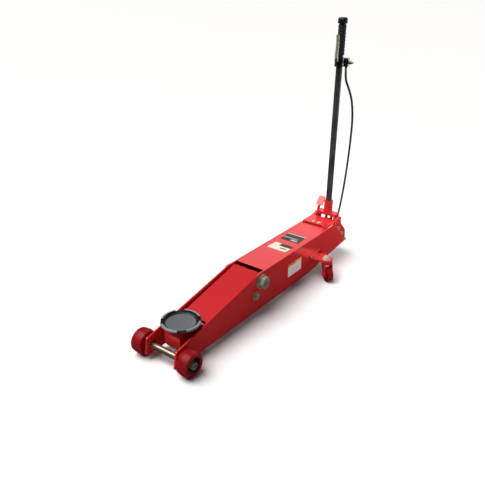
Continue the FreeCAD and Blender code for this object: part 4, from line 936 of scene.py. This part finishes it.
@dataclass
class Saddle:
    """The dished, notched saddle: bright on its rim and floor, with painted shade in near black on its
    inner wall, notches and underside.
    """

    rim_wide: float = 8.6 * MM
    floor_radius: float = 66.6 * MM
    notch_half: float = 20.6 * MM
    edge: float = 0.7 * MM
    rim_skin: float = 0.3 * MM
    notch_top: float = 1 * MM
    notch_deep: float = 9 * MM
    underside: float = 14 * MM

    def build(self) -> None:
        """Builds the saddle."""
        node = "saddle"
        low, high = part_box(node)
        centre = (low + high) / 2
        disc = (high.x - low.x) / 2
        shape = node_shape(node)
        ease_edges(shape, self.edge)
        for face in shape.faces:
            spot = face.calc_center_median() - centre
            reach = math.hypot(spot.x, spot.y)
            depth = high.z - (spot.z + centre.z)
            across = abs(abs(spot.x) - abs(spot.y)) / math.sqrt(2)
            outer = reach > disc - self.rim_wide
            wall = reach > self.floor_radius and not outer and depth > self.rim_skin
            notched = across < self.notch_half and reach > self.floor_radius
            notch = notched and self.notch_top < depth < self.notch_deep
            rim = depth < self.rim_skin or (outer and depth < self.notch_deep)
            # Inner wall, notch faces and underside take the painted shade steel: painted shadow and
            # painted dark reflection.
            if wall or notch or depth > self.underside:
                face.material_index = 1
            elif rim:
                face.material_index = 2
        piece = new_piece(node + "_made", shape, [SADDLE_STEEL, SADDLE_SHADE_STEEL, RIM_STEEL])
        enrol(piece, BODY_OF[node], [node])


@dataclass
class Casters:
    """The two swivel casters: forks with their axle bolts, and grooved wheels."""

    fork_edge: float = 1.2 * MM
    wheel_edge: float = 0.8 * MM

    def build(self) -> None:
        """Builds both casters."""
        for side in Side:
            refine("caster_fork_" + side.word, edge=self.fork_edge)
            refine("caster_wheel_" + side.word, edge=self.wheel_edge)


@dataclass
class PumpUnit:
    """Cylinder, ram, pump block, air motor and the springs that stretch between moving pieces."""

    edge: float = 0.8 * MM

    def build(self) -> None:
        """Builds the hydraulic unit's pieces."""
        for node in ("oil_tank", "cylinder_barrel", "cylinder_gland", "ram_rod", "ram_crosshead",
                     "pump_block", "air_motor", "pump_plunger", "pump_roller", "release_valve"):
            refine(node, edge=self.edge)
        frame["nodes"]["ram_piston"].data.materials.clear()
        frame["nodes"]["ram_piston"].data.materials.append(TURNED_STEEL.material())
        self.stretch("return_springs", SPRING_WIRE, "lift_arm", "chassis", Axis.X, -1)
        self.stretch("pump_spring", SPRING_WIRE, "pump_plunger", "chassis", Axis.X, 1)
        self.stretch("release_cable", BLACK_RUBBER, "chassis", "handle", Axis.Z, 1)

    def stretch(self, node: str, finish: Finish, first: str, second: str, axis: Axis, way: int) -> None:
        """Replaces a spring or cable by a smoothed copy that stays where it stands; it follows neither
        body.

        Args:
            node: the CAD node that it stands for.
            finish: its finish.
            first: the body at its first end.
            second: the body at its last end.
            axis: the direction from first to last.
            way: 1 or -1 along that direction.
        """
        low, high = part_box(node)
        ends = (low, high) if way > 0 else (high, low)
        start, end = [(low + high) / 2 for _ in ends]
        index = axis.value.index(1.0)
        start[index], end[index] = ends[0][index], ends[1][index]
        piece = new_piece(node + "_made", node_shape(node), [finish])
        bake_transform(piece)
        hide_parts(node)
        log.info("%s stretches from %s to %s", piece.name, first, second)


@dataclass
class Handle:
    """The pump handle: yoke, tube, grip, release knob, air valve, trigger, pedal and hose."""

    edges: Mapping[str, float] = field(
        default_factory=lambda: {
            "handle_yoke": 1.4 * MM,
            "handle_tube": 0.5 * MM,
            "handle_grip": 0.4 * MM,
            "air_valve": 0.7 * MM,
            "air_lever": 0.5 * MM,
            "release_knob": 0.8 * MM,
            "foot_pedal": 1.6 * MM,
            "hose_elbow": 2.0 * MM,
        }
    )
    hose_dia: float = 12 * MM
    hose_length: float = 907 * MM
    hose_route: tuple[Point, ...] = (
        (-0.7179, 0.0420, 0.2000), (-0.7409, 0.0430, 0.2510), (-0.7569, 0.0460, 0.3300),
        (-0.7749, 0.0490, 0.4350), (-0.7909, 0.0500, 0.5600), (-0.8079, 0.0480, 0.6900),
        (-0.8139, 0.0450, 0.8000), (-0.7969, 0.0400, 0.9000), (-0.7509, 0.0340, 0.9750),
        (-0.7188, 0.0300, 1.0210), (-0.7197, 0.0300, 1.0745),
    )
    ferrule_long: float = 18 * MM
    ferrule_wall: float = 1.3 * MM
    ferrule_groove: float = 0.8 * MM
    ferrule_rings: int = 3
    ferrule_steps: int = 32

    def build(self) -> None:
        """Builds the handle's pieces."""
        for node, edge in self.edges.items():
            refine(node, edge=edge)
        self.hose()

    def ferrule(self, name: str, end: Point, toward: Point) -> bpy.types.Object:
        """Turns a crimped ferrule round one end of the hose.

        Args:
            name: its name.
            end: the hose's end.
            toward: the hose's next point.

        Returns:
            The ferrule.
        """
        radius = self.hose_dia / 2
        skin = radius + self.ferrule_wall
        groove = skin - self.ferrule_groove
        ring = self.ferrule_long / self.ferrule_rings
        outline = [(0.0, radius, 0.0), (0.0, skin, 0.5 * MM)]
        for turn in range(self.ferrule_rings):
            foot = ring * turn
            outline += [
                (foot + ring * 0.6, skin, 0.4 * MM),
                (foot + ring * 0.75, groove, 0.3 * MM),
                (foot + ring * 0.95, groove, 0.0),
            ]
        outline += [(self.ferrule_long, radius, 0.0)]
        axis = Vector(toward) - Vector(end)
        shape = lathe(rounded(outline, 3), Vector(end), axis, self.ferrule_steps)
        return enrol(new_piece(name, shape, [ZINC]), "handle")

    def hose(self) -> None:
        """Hangs the air hose from the valve down to its elbow."""
        curve = bpy.data.curves.new("air_hose_made", "CURVE")
        curve.dimensions = "3D"
        curve.bevel_depth = self.hose_dia / 2
        curve.bevel_resolution = 6
        curve.resolution_u = 16
        curve.use_fill_caps = True
        line = curve.splines.new("NURBS")
        line.points.add(len(self.hose_route) - 1)
        for point, place in zip(line.points, self.hose_route):
            point.co = (*place, 1.0)
        line.order_u = 3
        line.use_endpoint_u = True
        line.use_smooth = True
        curve.materials.append(BLACK_RUBBER.material())
        piece = bpy.data.objects.new("air_hose_made", curve)
        bpy.context.scene.collection.objects.link(piece)
        enrol(piece, "handle", ["air_hose"])
        low = self.ferrule("hose_ferrule_low", self.hose_route[0], self.hose_route[1])
        high = self.ferrule("hose_ferrule_high", self.hose_route[-1], self.hose_route[-2])


@dataclass(frozen=True)
class Softbox:
    """A square softbox: its place, side in metres, watts, aim, and the width of its beam in degrees."""

    name: str
    place: Point
    size: float
    power: float
    aim: Point = (0.0, 0.0, 0.2)
    spread: float = 180.0

    def hang(self) -> None:
        """Hangs the softbox; a grid on it narrows its beam."""
        light = bpy.data.lights.new(self.name, "AREA")
        light.spread = math.radians(self.spread)
        light.size = self.size
        light.energy = self.power
        lamp = bpy.data.objects.new(self.name, light)
        lamp.location = self.place
        beam = Vector(self.aim) - Vector(self.place)
        lamp.rotation_euler = beam.to_track_quat("-Z", "Y").to_euler()
        bpy.context.scene.collection.objects.link(lamp)


@dataclass
class Studio:
    """A pale floor, soft lights and the camera."""

    floor_half: float = 60.0
    backdrop_power: float = 0.97
    overhead_power: float = 4.2
    overhead_wide: float = 50.0
    overhead_from: Point = (0.30, -0.42, 1.0)
    softboxes: tuple[Softbox, ...] = (
        Softbox("back_softbox", (-2.5, -1.45, 1.55), 1.8, 10.0),
        Softbox("rear_fill", (-1.9, 1.3, 0.8), 0.9, 13.0, (-0.7, 0.1, 0.15)),
        Softbox("handle_fill", (0.4, 1.5, 1.5), 0.5, 0.7, (-0.78, 0.0, 0.25), 28.0),
    )
    eye: Point = (2.1376, 1.5102, 1.5896)
    right: Point = (-0.60453, 0.79658, 0.0003)
    up: Point = (-0.34816, -0.26450, 0.89935)
    lens: float = 43.156

    def build(self) -> None:
        """Builds the studio round the jack."""
        self.floor()
        self.sky()
        self.overhead()
        for softbox in self.softboxes:
            softbox.hang()
        self.camera()

    def floor(self) -> None:
        """A wide, flat, pale floor, which the jack's gloss doesn't mirror."""
        shape = bmesh.new()
        bmesh.ops.create_grid(shape, x_segments=1, y_segments=1, size=self.floor_half)
        mesh = bpy.data.meshes.new("floor")
        shape.to_mesh(mesh)
        shape.free()
        mesh.materials.append(PAPER.material())
        piece = bpy.data.objects.new("floor", mesh)
        piece.visible_glossy = False
        bpy.context.scene.collection.objects.link(piece)

    def sky(self) -> None:
        """A white backdrop all round, which is seen but doesn't light or mirror in the jack."""
        world = bpy.data.worlds.new("white_backdrop")
        world.use_nodes = True
        world.node_tree.nodes["Background"].inputs["Color"].default_value = (1.0, 1.0, 1.0, 1.0)
        world.node_tree.nodes["Background"].inputs["Strength"].default_value = self.backdrop_power
        bpy.context.scene.world = world
        world.cycles_visibility.diffuse = False
        world.cycles_visibility.glossy = False

    def overhead(self) -> None:
        """Lights the whole floor evenly from high above, through a wide diffuser."""
        light = bpy.data.lights.new("overhead", "SUN")
        light.energy = self.overhead_power
        light.angle = math.radians(self.overhead_wide)
        lamp = bpy.data.objects.new("overhead", light)
        lamp.rotation_euler = Vector(self.overhead_from).to_track_quat("Z", "Y").to_euler()
        bpy.context.scene.collection.objects.link(lamp)

    def camera(self) -> None:
        """Sets the camera."""
        lens = bpy.data.cameras.new("camera")
        lens.lens = self.lens
        lens.sensor_width = 36.0
        camera = bpy.data.objects.new("camera", lens)
        right, up = Vector(self.right), Vector(self.up)
        turn = Matrix((right, up, right.cross(up))).transposed().to_4x4()
        camera.matrix_world = Matrix.Translation(self.eye) @ turn
        bpy.context.scene.collection.objects.link(camera)
        bpy.context.scene.camera = camera


def main() -> None:
    """Builds the jack's looks, then the studio."""
    jack = (Chassis(), FrontAxle(), LiftArm(), Saddle(), Casters(), PumpUnit(), Handle())
    for part in (*jack, Studio()):
        part.build()
    bpy.context.scene.view_settings.view_transform = "Standard"


if __name__ == "__main__":
    main()
